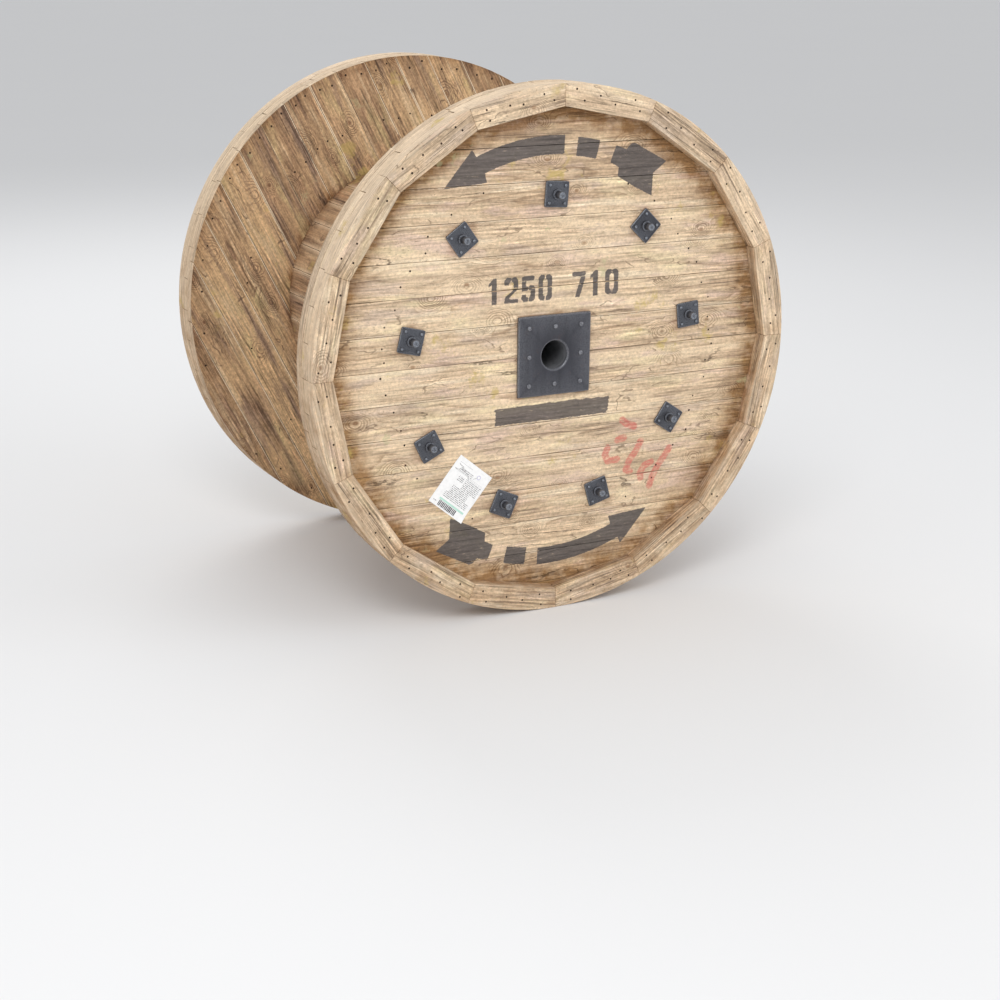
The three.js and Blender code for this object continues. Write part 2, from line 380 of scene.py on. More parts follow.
class TimberGrain(EffectGroup):
    """Growth rings, knots, fibres, weather streaks, splits and checks of sawn softwood.

    The vector runs along the board, across it and through it, measured from the heart of the log.
    """

    title = "Timber grain"
    inputs = {"Grain": (VECTOR, None), "Ring Width": (FLOAT, 0.0065),
              "Knot Share": (FLOAT, 0.35), "Check Share": (FLOAT, 0.5),
              "Split Share": (FLOAT, 0.5)}
    outputs = {"Ring": FLOAT, "Fibre": FLOAT, "Streak": FLOAT, "Knot": FLOAT, "Check": FLOAT,
               "Tick": FLOAT, "Split": FLOAT, "Mottle": FLOAT, "Patch": VECTOR, "Band": FLOAT,
               "Speck": FLOAT, "Height": FLOAT}
    knot_cell = (0.21, 0.083)  # each cell along the board may hold one knot

    @classmethod
    def build(cls, graph: Graph, given: dict[str, Value]) -> dict[str, Value]:
        """Wires the grain.

        Args:
            graph: the group's graph.
            given: the group's inputs by name.

        Returns:
            The masks from 0 to 1, three patch noises and the relief in millimetres.
        """
        grain = given["Grain"]
        along, across, deep = grain.split()

        def noise_at(length: float, width: float, detail: float, rough: float = 0.5,
                     shift: float = 0.0, colour: bool = False) -> Value:
            """Noise with its own frequency along the board and across it.

            Args:
                length: waves in a metre along the board.
                width: waves in a metre across and through it.
                detail: how many octaves.
                rough: how much the finer octaves weigh.
                shift: moves the noise, so that two of them differ.
                colour: gives three noises instead of one.

            Returns:
                The noise, about 0.5.
            """
            place = grain * (length, width, width)
            if shift:
                place = place + (shift, 2 * shift, -shift)
            return graph.noise(place, detail, rough, colour)

        def crack(level: Value, outer: float, inner: float) -> Value:
            """A thin line where a noise passes through one half."""
            return abs(level - 0.5).ramp(outer, inner)

        # knots: each has its chance, its size and its kind
        length, width = cls.knot_cell
        sites = {v.socket.name: v for v in graph.outputs(
            "TexVoronoi", {"Vector": grain * (1 / length, 1 / width, 0.0), "Scale": 1.0,
                           "Randomness": 0.9}, voronoi_dimensions="2D", feature="F1")}
        offset = graph.join(along, across, 0.0) - sites["Position"] * (length, width, 0.0)
        ragged = (noise_at(45.0, 70.0, 2.0) - 0.5).line(0.34, 1.0)
        reach = graph.math("LENGTH", offset * (0.66, 1.0, 0.0)) * ragged
        chance, size, kind = sites["Color"].split()
        chosen = chance.under(given["Knot Share"])
        nearness = reach / size.line(0.009, 0.0095)
        bump = graph.math("EXPONENT", nearness * nearness * -0.5) * chosen
        eye = reach.ramp(0.0062, 0.0020) * chosen * kind.ramp(0.40, 0.60)

        # growth rings about the heart, bent round the knots
        wander, sway, cloud = noise_at(1.3, 5.0, 2.0, colour=True).split()
        aside = (wander - 0.5).line(0.060, across)
        below = (sway - 0.5).line(0.075, deep)
        radius = bump.line(0.040, graph.math("SQRT", aside * aside + below * below))
        radius = noise_at(4.5, 38.0, 4.0).line(0.0085, radius)
        phase = graph.math("FRACT", radius / given["Ring Width"])
        late = (phase.ramp(0.25, 0.80) * 0.45).most(phase.ramp(0.66, 0.86))
        late = late * phase.ramp(1.0, 0.92)
        faint = noise_at(2.6, 26.0, 3.0, 0.55, 5.1).ramp(0.40, 0.60, 0.10, 1.0)
        late = late * faint.most(bump.ramp(0.05, 0.5) * 2.1)

        fibre = noise_at(9.0, 190.0, 5.0, 0.66)
        streak = noise_at(3.6, 80.0, 5.0, 0.68).ramp(0.54, 0.70)
        mottle = noise_at(120.0, 150.0, 4.0, 0.68)
        patch = noise_at(4.6, 17.0, 5.0, 0.62, colour=True)
        speck = noise_at(170.0, 300.0, 2.0, 0.6).ramp(0.60, 0.70) * cloud.ramp(0.36, 0.56)

        # splits follow the grain, checks wander across it, ticks are short and curled
        jag = noise_at(60.0, 230.0, 2.0) - 0.5
        thin = crack(jag.line(0.03, noise_at(1.7, 95.0, 1.0, 0.4, 2.3)), 0.026, 0.006)
        band = noise_at(3.2, 42.0, 3.0, 0.55, 6.7)
        split = ((band - given["Split Share"].line(-0.22, 0.66)) * 12.0).clipped() * thin
        thin = crack(jag.line(0.050, noise_at(2.0, 19.0, 1.0, 0.4, 7.3)), 0.0080, 0.0015)
        where = noise_at(4.1, 12.0, 2.0, 0.5, 3.1)
        check = thin * ((where - given["Check Share"].line(-0.14, 0.68)) * 18.0).clipped()
        tick = crack(noise_at(13.0, 34.0, 2.0, 0.5, 4.9), 0.021, 0.006)
        tick = tick * noise_at(9.0, 19.0, 1.0, 0.5, 8.3).ramp(0.59, 0.65)

        height = late * 0.25
        for mask, rise in ((fibre, 0.70), (streak, -0.25), (split, -0.9), (check, -1.2),
                           (eye, -0.4)):
            height = mask.line(rise, height)
        return {"Ring": late, "Fibre": fibre, "Streak": streak, "Knot": eye, "Check": check,
                "Tick": tick, "Split": split, "Mottle": mottle, "Patch": patch, "Band": band,
                "Speck": speck, "Height": height}


class StainAndShade(EffectGroup):
    """Soil and painted shade, rust below iron and pale splashes of growth, broken up by noise."""

    title = "Stain and painted shade"
    # the Soil input and the Soil Colour carry soil and painted shade alike
    inputs = {"Place": (VECTOR, None), "Colour": (COLOUR, None), "Soil": (FLOAT, 0.0),
              "Rust": (FLOAT, 0.0), "Soil Colour": (COLOUR, None), "Fibre": (FLOAT, 0.5),
              "Splash Amount": (FLOAT, 0.5)}
    outputs = {"Colour": COLOUR, "Roughness": FLOAT}
    rust_colour: Colour = (0.23, 0.085, 0.035)
    lichen: Colour = (0.56, 0.42, 0.13)
    moss: Colour = (0.50, 0.48, 0.26)

    @classmethod
    def build(cls, graph: Graph, given: dict[str, Value]) -> dict[str, Value]:
        """Wires the stains.

        Args:
            graph: the group's graph.
            given: the group's inputs by name.

        Returns:
            The stained colour and the roughness.
        """
        place, colour = given["Place"], given["Colour"]
        mottle = graph.noise(place * (26.0, 26.0, 26.0), 5.0, 0.62)
        # soil and painted shade, darkened together and broken up by the fibres and a mottle
        broken = (given["Fibre"] - 0.5).line(-1.1, (mottle - 0.5).line(3.0, 1.0))
        soiled = graph.mix(1.0, colour, given["Soil Colour"], "MULTIPLY")
        colour = graph.mix((given["Soil"] * broken).clipped(), colour, soiled)
        rust = (given["Rust"] * mottle.ramp(0.30, 0.62)).clipped()
        colour = graph.mix(rust, colour, cls.rust_colour)

        # small splashes of yellow and green growth
        wide = graph.noise(place * (9.0, 9.0, 9.0) + (3.7, 1.2, 9.1), 5.0, 0.66)
        splash = wide.ramp(0.60, 0.68) * given["Splash Amount"] * mottle.ramp(0.46, 0.58)
        colour = graph.mix(splash, colour, cls.lichen)
        green = wide.ramp(0.33, 0.285) * given["Splash Amount"]
        colour = graph.mix(green * 0.7, colour, cls.moss)
        return {"Colour": colour, "Roughness": mottle.line(0.16, 0.70)}


class IronPatina(EffectGroup):
    """Dull oiled iron with drip marks, pale worn edges and rust at its rim."""

    title = "Iron patina"
    inputs = {"Place": (VECTOR, None), "Base": (COLOUR, None), "Worn": (COLOUR, None),
              "Edge": (FLOAT, 0.0), "Rust Amount": (FLOAT, 0.4)}
    outputs = {"Colour": COLOUR, "Roughness": FLOAT, "Height": FLOAT}
    rust_colour: Colour = (0.16, 0.070, 0.035)

    @classmethod
    def build(cls, graph: Graph, given: dict[str, Value]) -> dict[str, Value]:
        """Wires the patina.

        Args:
            graph: the group's graph.
            given: the group's inputs by name.

        Returns:
            Colour, roughness and relief in millimetres.
        """
        place = given["Place"]
        cloud = graph.noise(place * (34.0, 34.0, 34.0), 4.0, 0.6)
        drips = graph.noise(place * (95.0, 60.0, 9.0), 3.0, 0.55)
        pits = graph.noise(place * (420.0, 420.0, 420.0), 3.0, 0.6)
        colour = graph.shaded(given["Base"], (drips - 0.5).line(0.75, cloud.line(0.60, 0.70)))
        # pale edges: wear, and on rivet heads and the stud's collar also a painted highlight
        colour = graph.mix(given["Edge"] * pits.ramp(0.25, 0.6), colour, given["Worn"])
        spots = cloud.ramp(0.56, 0.72) * given["Rust Amount"] * pits.ramp(0.4, 0.62)
        colour = graph.mix(spots, colour, cls.rust_colour)
        return {"Colour": colour, "Roughness": cloud.line(0.30, 0.34),
                "Height": pits.line(0.020, cloud * 0.30)}


# --------------------------------------------------------------------------- finishes


@dataclass(frozen=True)
class Finish:
    """One material, and the name of a slot, which is not used."""

    name: str
    slot: str

    def surface(self, graph: Graph) -> tuple[Inputs, Inputs]:
        """Wires the pattern of the finish.

        Args:
            graph: the material's graph.

        Returns:
            Inputs of the Principled BSDF, and of the Bump node for its normal or nothing.
        """
        raise NotImplementedError

    def material(self) -> bpy.types.Material:
        """Builds the material.

        Returns:
            The material, which has the finish's name.
        """
        material = bpy.data.materials.new(self.name)
        material.use_nodes = True
        material.node_tree.nodes.clear()
        graph = Graph(material.node_tree)
        coat, relief = self.surface(graph)
        if relief:
            coat = {**coat, "Normal": graph.outputs("Bump", relief)[0]}
        graph.outputs("OutputMaterial", {"Surface": graph.outputs("BsdfPrincipled", coat)[0]})
        return material


@dataclass(frozen=True)
class TimberFinish(Finish):
    """Colours and wear of one kind of sawn timber. Colours are linear."""

    pale: Colour
    deep: Colour
    late_wood: Colour
    streaks: Colour
    # darkens the timber where soil lies and where shade is painted
    soil: Colour
    arris: Colour
    rim: Colour = (0.79, 0.622, 0.440)
    tints: tuple[Colour, ...] = ((0.62, 0.50, 0.38), (0.84, 0.68, 0.42), (0.66, 0.47, 0.36),
                                 (0.50, 0.37, 0.26), (0.86, 0.72, 0.52))
    tint_strength: float = 0.5
    ring_strength: float = 0.5
    streak_strength: float = 0.5
    fibre_strength: float = 1.5
    mottle_strength: float = 0.75
    split_strength: float = 0.6
    arris_strength: float = 0.3
    arris_whole: float = 0.0
    knot_share: float = 0.35
    check_share: float = 0.5
    split_share: float = 0.5
    ring_width: float = 0.0065
    splash: float = 0.5
    painted: bool = False
    plain_grain: bool = False

    def surface(self, graph: Graph) -> tuple[Inputs, Inputs]:
        """Wires the timber from the piece's grain, tone, soil and painted shade, rust, rim and
        arris attributes.

        Args:
            graph: the material's graph.

        Returns:
            Inputs of the Principled BSDF and of the Bump node.
        """
        grain, tone = graph.attribute("grain", vector=True), graph.attribute("tone")
        rim, place = graph.attribute("rim"), graph.place()
        x, y, z = place.split()
        if self.plain_grain:
            grain = graph.join(x, z, y)
        else:
            # the rim is weathered along its round
            lane = tone.line(0.7, graph.math("ARCTAN2", x, z - SIZES.apothem) * SIZES.radius)
            grain = graph.mix(rim.over(0.5), grain, graph.join(lane, y, 0.03))
        wood = graph.use(TimberGrain, Grain=grain, Ring_Width=self.ring_width,
                         Knot_Share=self.knot_share, Check_Share=self.check_share,
                         Split_Share=self.split_share)
        patch, band, mottle = wood["Patch"].split(), wood["Band"], wood["Mottle"]
        lively = patch[0].ramp(0.40, 0.60, 0.55, 1.45)

        blend = (tone + patch[0].line(3.0, -1.13)).clipped()
        colour = graph.mix(blend, self.pale, self.deep)
        bands = ((patch[1], 0.53, 0.66), (patch[2], 0.53, 0.68), (patch[1], 0.46, 0.33),
                 (band, 0.54, 0.68), (band, 0.45, 0.33))
        for (value, low, high), tint in zip(bands, self.tints):
            colour = graph.mix(value.ramp(low, high) * self.tint_strength, colour, tint)
        drawn = lively * tone.line(0.5 * self.ring_strength, self.ring_strength)
        colour = graph.mix((wood["Ring"] * drawn).clipped(), colour, self.late_wood)
        fibre = lively * ((wood["Fibre"] - 0.52) * self.fibre_strength) + 1.0
        shade = fibre * mottle.line(self.mottle_strength, 1.0 - self.mottle_strength * 0.5)
        colour = graph.shaded(colour, shade)
        streak = (lively * (wood["Streak"] * self.streak_strength)).clipped()
        colour = graph.mix(streak, colour, self.streaks)
        whole = 0.2 * self.arris_whole
        worn = graph.attribute("arris").ramp(0.1, 0.6) * mottle.ramp(0.60 + whole, 0.42 + whole)
        colour = graph.mix(worn * self.arris_strength, colour, self.arris)

        crack, hair = (tuple(c * share for c in self.streaks) for share in (0.34, 0.7))
        knot = tuple(c * share for c, share in zip(self.late_wood, (0.8, 0.68, 0.6)))
        for mask, share, tint in (("Speck", 0.55, self.streaks), ("Knot", 0.75, knot),
                                  ("Split", self.split_strength, crack), ("Check", 0.68, crack),
                                  ("Tick", 0.66, hair)):
            colour = graph.mix(wood[mask] * share, colour, tint)
        edge = graph.shaded(self.rim, (shade - 1.0).line(0.55, 1.0))
        colour = graph.mix(rim * 0.72, colour, edge)
        # soil and painted shade come in one attribute and darken the timber alike
        stain = graph.use(StainAndShade, Place=place, Colour=colour, Soil=graph.attribute("soil"),
                          Rust=graph.attribute("rust"), Soil_Colour=self.soil,
                          Fibre=wood["Fibre"], Splash_Amount=self.splash)
        colour = stain["Colour"]
        if self.painted:
            colour = self.paint(graph, colour, wood)
        return ({"Base Color": colour, "Roughness": stain["Roughness"],
                 "Specular IOR Level": 0.28},
                {"Strength": 1.0, "Distance": MM, "Height": wood["Height"]})

    def paint(self, graph: Graph, colour: Value, wood: dict[str, Value]) -> Value:
        """Lays the dark stencil paint and the red marker over the timber.

        Args:
            graph: the material's graph.
            colour: the timber's colour.
            wood: outputs of the grain group.

        Returns:
            The colour with the marks.
        """
        place = graph.place()
        ragged = (graph.noise(place * (260.0, 260.0, 420.0), 3.0, 0.65) - 0.5) * 4.2
        worn = graph.noise(place * (46.0, 46.0, 190.0), 4.0, 0.62)
        chalk = graph.noise(place * (120.0, 120.0, 210.0), 3.0, 0.7)

        # the bar was brushed on thinner and frays more
        x, _, z = place.split()
        bar = abs(z - (SIZES.apothem - 0.138)).ramp(0.036, 0.028) * abs(x).ramp(0.18, 0.17)
        inside = (bar * (worn - 0.56)).line(13.0, graph.attribute("paint") + ragged)
        thin = (worn.ramp(0.60, 0.78) * 0.5).most(chalk.ramp(0.62, 0.80, 0.0, 0.12))
        cover = inside.ramp(-0.7, 0.7) * (0.95 - bar.line(0.05, thin))
        shade = (chalk - 0.5).line(0.6, (worn - 0.5).line(0.9, 1.0))
        shade = (wood["Fibre"] - 0.5).line(1.1, shade)
        black = graph.shaded((0.113, 0.098, 0.092), shade)
        black = graph.mix(wood["Streak"] * 0.5, black, (0.030, 0.026, 0.024))
        colour = graph.mix(cover, colour, black)

        cover = (graph.attribute("marker") + ragged * 0.8).ramp(-0.5, 3.5)
        cover = cover * worn.ramp(0.66, 0.44, 0.45, 1.0)
        cover = cover * wood["Mottle"].ramp(0.66, 0.45, 0.60, 1.0)
        return graph.mix(cover * 0.86, colour, (0.63, 0.182, 0.142))


@dataclass(frozen=True)
class IronFinish(Finish):
    """Colour and wear of one kind of ironwork. Colours are linear."""

    base: Colour
    worn: Colour
    rust: float = 0.3
    metallic: float = 0.55
    specular: float = 0.5

    def surface(self, graph: Graph) -> tuple[Inputs, Inputs]:
        """Wires the iron from the piece's arris attribute.

        Args:
            graph: the material's graph.

        Returns:
            Inputs of the Principled BSDF and of the Bump node.
        """
        iron = graph.use(IronPatina, Place=graph.place(), Base=self.base, Worn=self.worn,
                         Edge=graph.attribute("arris"), Rust_Amount=self.rust)
        return ({"Base Color": iron["Colour"], "Roughness": iron["Roughness"],
                 "Metallic": self.metallic, "Specular IOR Level": self.specular},
                {"Strength": 0.6, "Distance": MM, "Height": iron["Height"]})


@dataclass(frozen=True)
class PaperFinish(Finish):
    """A printed paper label with bars and rows of unreadable print, on its own UV map."""

    paper: Colour
    ink: Colour
    band: Colour
    stamp: Colour = (0.36, 0.33, 0.62)

    def surface(self, graph: Graph) -> tuple[Inputs, Inputs]:
        """Wires the label from its UV map, in millimetres from its lower left corner.

        Args:
            graph: the material's graph.

        Returns:
            Inputs of the Principled BSDF and of the Bump node.
        """
        uv = graph.outputs("UVMap", uv_map="print")[0]
        across, up, _ = uv.split()

        def within(value: Value, low: float, high: float) -> Value:
            """1 where a number lies between two others."""
            return value.over(low) * value.under(high)

        def block(left: float, low: float, right: float, top: float) -> Value:
            """1 inside an upright rectangle."""
            return within(across, left, right) * within(up, low, top)

        bars = graph.noise(graph.join(across * 0.30, 0.5, 0.5), 1.0)
        bars = (graph.math("FRACT", across / 4.4) + bars).over(0.86)
        ink = bars * block(24.0, 4.0, 80.0, 18.0)

        # rows of small grey dashes stand for print
        rows = within(graph.math("FRACT", up / 4.1), 0.30, 0.74)
        row = graph.math("FLOOR", up / 4.1)
        dashes = graph.noise(graph.join(across * 0.24, row, 2.0), 3.0, 0.8).ramp(0.42, 0.54)
        areas = block(22.0, 29.0, 96.0, 44.0)
        for corners in ((30.0, 44.0, 84.0, 66.0), (52.0, 66.0, 100.0, 96.0),
                        (20.0, 100.0, 62.0, 110.0), (30.0, 78.0, 48.0, 92.0),
                        (8.0, 7.0, 20.0, 12.0)):
            areas = areas.most(block(*corners))
        ink = ink.most(rows * dashes * areas * 0.85)
        rules = block(10.0, 119.0, 52.0, 119.9).most(block(8.0, 98.0, 98.0, 98.7))
        ink = ink.most(rules * 0.4)

        # two pen strokes and a tick
        for lean, shift, left, right in ((-0.42, 121.0, 12.0, 58.0), (0.30, 97.0, 8.0, 40.0),
                                         (1.6, -6.0, 66.0, 74.0)):
            height = graph.math("SINE", across * 0.31).line(1.6, across.line(lean, shift))
            stroke = abs(up - height).ramp(1.1, 0.5) * within(across, left, right)
            ink = ink.most(stroke * 0.60)

        mottle = graph.noise(uv * (0.09, 0.09, 0.0), 4.0, 0.6)
        colour = graph.mix(mottle.ramp(0.40, 0.75), self.paper,
                           tuple(c * 0.90 for c in self.paper))
        colour = graph.mix(block(20.0, 19.0, 99.0, 24.0) * 0.8, colour, self.band)
        ring = within(graph.math("LENGTH", uv - (77.0, 113.0, 0.0)), 3.6, 5.4)
        colour = graph.mix(ring * 0.6, colour, self.stamp)
        colour = graph.mix(ink, colour, self.ink)
        return ({"Base Color": colour, "Roughness": mottle.line(0.2, 0.45)},
                {"Strength": 0.5, "Distance": MM, "Height": mottle})


@dataclass(frozen=True)
class FloorFinish(Finish):
    """The plain pale floor under the drum."""

    pale: Colour = (0.80, 0.80, 0.80)
    worn: Colour = (0.7, 0.7, 0.7)

    def surface(self, graph: Graph) -> tuple[Inputs, Inputs]:
        """Wires the floor, which has no relief.

        Args:
            graph: the material's graph.

        Returns:
            Inputs of the Principled BSDF, and nothing for a Bump node.
        """
        cloud = graph.noise(graph.place() * (0.8, 0.8, 0.8), 3.0)
        return {"Base Color": graph.mix(cloud * 0.10, self.pale, self.worn), "Roughness": 0.9,
                "Specular IOR Level": 0.1}, {}


PALE_BOARDS = TimberFinish(
    "Pale weathered boards", "pale_boards", pale=(0.80, 0.619, 0.419), deep=(0.60, 0.430, 0.276),
    late_wood=(0.40, 0.27, 0.165), streaks=(0.29, 0.195, 0.125), soil=(0.50, 0.375, 0.245),
    arris=(0.90, 0.76, 0.57), tints=((0.60, 0.467, 0.376), (0.872, 0.729, 0.445),
                                     (0.705, 0.514, 0.428), (0.50, 0.36, 0.245),
                                     (0.88, 0.735, 0.53)),
    tint_strength=0.60, ring_strength=0.55, streak_strength=0.49, fibre_strength=1.7,
    mottle_strength=1.08, arris_strength=0.55, knot_share=0.60, check_share=0.80,
    split_share=0.35, split_strength=0.50, splash=0.70, painted=True)
RIM_TIMBER = TimberFinish(
    "Pale rim timber", "rim_timber", pale=(0.80, 0.62, 0.425), deep=(0.60, 0.44, 0.290),
    late_wood=(0.46, 0.33, 0.22), streaks=(0.31, 0.22, 0.15), soil=(0.52, 0.38, 0.26),
    arris=(0.86, 0.72, 0.54), tints=((0.60, 0.49, 0.40), (0.84, 0.70, 0.45),
                                     (0.69, 0.52, 0.43), (0.50, 0.38, 0.27),
                                     (0.86, 0.72, 0.53)),
    tint_strength=0.60, fibre_strength=2.4, mottle_strength=1.25, arris_strength=0.45,
    knot_share=0.18, check_share=0.45, split_share=0.62, split_strength=0.65, splash=0.45,
    ring_width=0.0058)
BROWN_BOARDS = TimberFinish(
    "Brown weathered boards", "brown_boards", pale=(0.645, 0.433, 0.237),
    deep=(0.374, 0.230, 0.129), late_wood=(0.245, 0.145, 0.086), streaks=(0.170, 0.103, 0.069),
    soil=(0.50, 0.38, 0.29), arris=(0.93, 0.77, 0.56),
    tints=((0.33, 0.222, 0.158), (0.56, 0.44, 0.225), (0.57, 0.36, 0.205),
           (0.265, 0.176, 0.128), (0.68, 0.50, 0.31)),
    tint_strength=0.70, ring_strength=0.60, streak_strength=0.52, fibre_strength=2.35,
    mottle_strength=1.7, arris_strength=0.95, arris_whole=1.0, knot_share=0.75,
    check_share=0.6)
STAVE_TIMBER = TimberFinish(
    "Brown stave timber", "stave_timber", pale=(0.56, 0.365, 0.21), deep=(0.37, 0.225, 0.125),
    late_wood=(0.245, 0.143, 0.082), streaks=(0.165, 0.100, 0.064), soil=(0.5, 0.4, 0.32),
    arris=(0.80, 0.62, 0.43), tints=((0.33, 0.21, 0.145), (0.53, 0.40, 0.20),
                                     (0.54, 0.30, 0.165), (0.25, 0.155, 0.11),
                                     (0.62, 0.43, 0.26)),
    tint_strength=0.55, streak_strength=0.55, fibre_strength=1.8, mottle_strength=1.0,
    arris_strength=0.95, arris_whole=1.0, knot_share=0.3, check_share=0.4, splash=0.35)
HEAD_TIMBER = TimberFinish(
    "Barrel head timber", "head_timber", pale=(0.50, 0.35, 0.21), deep=(0.38, 0.25, 0.14),
    late_wood=(0.26, 0.16, 0.09), streaks=(0.16, 0.10, 0.06), soil=(0.5, 0.4, 0.32),
    arris=(0.6, 0.45, 0.3), plain_grain=True)
PLATE_IRON = IronFinish("Dull plate iron", "plate_iron", base=(0.050, 0.051, 0.062),
                        worn=(0.28, 0.285, 0.31), rust=0.20)
STUD_IRON = IronFinish("Blue stud iron", "plate_iron", base=(0.036, 0.0355, 0.0430),
                       worn=(0.30, 0.325, 0.37), rust=0.20)
NAIL_IRON = IronFinish("Dark nail iron", "plate_iron", base=(0.040, 0.026, 0.018),
                       worn=(0.045, 0.034, 0.026), rust=0.6, metallic=0.0, specular=0.08)
TUBE_STEEL = IronFinish("Dark hub steel", "tube_steel", base=(0.155, 0.157, 0.165),
                        worn=(0.16, 0.16, 0.16), rust=0.15, metallic=0.35)
LABEL_PAPER = PaperFinish("Label paper", "pale_boards", paper=(0.955, 0.95, 0.94),
                          ink=(0.045, 0.045, 0.05), band=(0.42, 0.74, 0.60))
FLOOR = FloorFinish("Studio floor", "")


# --------------------------------------------------------------------------- marks

# a field takes places in millimetres to the right and upwards of the axle, and gives how far
# inside a mark each lies, in millimetres, below 0 outside it
FIELD_END = 20.0  # further than this a mark isn't measured


def line_distance(places: np.ndarray, start: np.ndarray, end: np.ndarray) -> np.ndarray:
    """Distance of places from the straight line between two points.

    Args:
        places: a row for each place.
        start: one end of the line.
        end: its other end.

    Returns:
        A distance for each place.
    """
    side, to = end - start, places - start
    share = np.clip(to @ side / (side @ side), 0.0, 1.0)
    return np.hypot(*(to - share[:, None] * side).T)


def polygon_field(points: Sequence[Point]) -> Field:
    """A filled polygon.

    Args:
        points: its corners.

    Returns:
        Its field.
    """
    corners = np.array(points, float)

    def measure(places: np.ndarray) -> np.ndarray:
        """Measures places.

        Args:
            places: a row for each place.

        Returns:
            Millimetres inside the polygon.
        """
        nearest, inside = np.inf, np.zeros(len(places), bool)
        for a, b in zip(corners, np.roll(corners, -1, axis=0)):
            nearest = np.minimum(nearest, line_distance(places, a, b))
            crosses = (a[1] > places[:, 1]) != (b[1] > places[:, 1])
            side = a[0] + (places[:, 1] - a[1]) * (b[0] - a[0]) / (b[1] - a[1] or math.inf)
            inside ^= crosses & (places[:, 0] < side)
        return np.where(inside, nearest, -nearest)

    return measure


def band_field(low: float, high: float, start: float, end: float, centre: Point) -> Field:
    """A band that bends round a centre.

    Args:
        low: its inner radius.
        high: its outer radius.
        start: first angle, clockwise from 12 o'clock, in degrees.
        end: last angle.
        centre: the centre.

    Returns:
        Its field.
    """

    def measure(places: np.ndarray) -> np.ndarray:
        """Measures places.

        Args:
            places: a row for each place.

        Returns:
            Millimetres inside the band.
        """
        x, y = (places - centre).T
        radius, angle = np.hypot(x, y), np.degrees(np.arctan2(x, y))
        degree = math.radians(1.0) * radius
        return np.minimum.reduce([radius - low, high - radius,
                                  (angle - start) * degree, (end - angle) * degree])

    return measure


def stroke_field(points: Sequence[Point], width: float) -> Field:
    """A drawn line of one width.

    Args:
        points: the line's points.
        width: its width.

    Returns:
        Its field.
    """
    line = np.array(points, float)

    def measure(places: np.ndarray) -> np.ndarray:
        """Millimetres inside the line."""
        return width / 2 - np.minimum.reduce(
            [line_distance(places, a, b) for a, b in zip(line[:-1], line[1:])])

    return measure


def union(fields: Iterable[Field]) -> Field:
    """Joins fields into one.

    Args:
        fields: the fields.

    Returns:
        A field that is positive inside any of them.
    """
    parts = list(fields)

    def measure(places: np.ndarray) -> np.ndarray:
        """Millimetres inside the field that is deepest there."""
        return np.maximum.reduce([part(places) for part in parts])

    return measure


@dataclass(frozen=True)
class StencilNumber:
    """Plain stencilled figures of 36 x 60 mm, with bridges across their loops."""

    text: str = "1250 710"
    left: float = -176.0
    base: float = 131.0
    width: float = 36.0
    height: float = 60.0
    pitch: float = 44.6
    # quarters of a loop: right half, lower half, and how far they reach from the top or foot
    quarters: ClassVar[dict[str, list[tuple[bool, bool, float]]]] = {
        "0": [(False, False, 30.2), (False, True, 30.2), (True, False, 30.2), (True, True, 30.2)],
        "2": [(False, False, 18.0), (True, False, 25.0)], "5": [(False, True, 17.0)]}
    # bars, as polygons from the figure's lower left corner
    bars: ClassVar[dict[str, list[list[Point]]]] = {
        "1": [[(12, 0), (25, 0), (25, 60), (16, 60), (4, 48), (4, 40), (12, 46)]],
        "2": [[(36, 33), (24, 33), (23, 30), (2, 15), (0, 10), (0, 11), (14, 11), (14, 14),
               (34, 30)], [(0, 0), (36, 0), (36, 9), (0, 9)]],
        "5": [[(1, 60), (34, 60), (34, 49), (1, 49)],
              [(1, 47), (12, 47), (12, 33), (16.5, 38), (16.5, 27), (12, 25), (1, 25)],
              [(19.5, 38), (30, 38), (36, 32), (36, 6), (30, 0), (19.5, 0), (19.5, 11),
               (24, 13), (24, 26), (19.5, 28)]],
        "7": [[(0, 60), (36, 60), (36, 49), (0, 49)], [(36, 46.5), (23, 46.5), (8, 0), (21, 0)]]}

    def quarter(self, right: bool, low: bool, reach: float) -> list[Point]:
        """One quarter of a loop.

        Args:
            right: the right half.
            low: the lower half.
            reach: how far it comes from the top or foot.

        Returns:
            Its corners, from the figure's lower left corner.
        """
        top = self.height
        points = [(16.5, top), (6, top), (0, top - 6), (0, top - reach), (12, top - reach),
                  (12, top - 14), (14, top - 11), (16.5, top - 11)]
        return [(self.width - x if right else x, top - y if low else y) for x, y in points]

    def field(self) -> Field:
        """Lays out the figures.

        Returns:
            The field of the painted figures.
        """
        parts = []
        for place, sign in enumerate(self.text):
            left = self.left + place * self.pitch
            loops = [self.quarter(*given) for given in self.quarters.get(sign, [])]
            for polygon in loops + self.bars.get(sign, []):
                parts.append(polygon_field([(left + x, self.base + y) for x, y in polygon]))
        return union(parts)


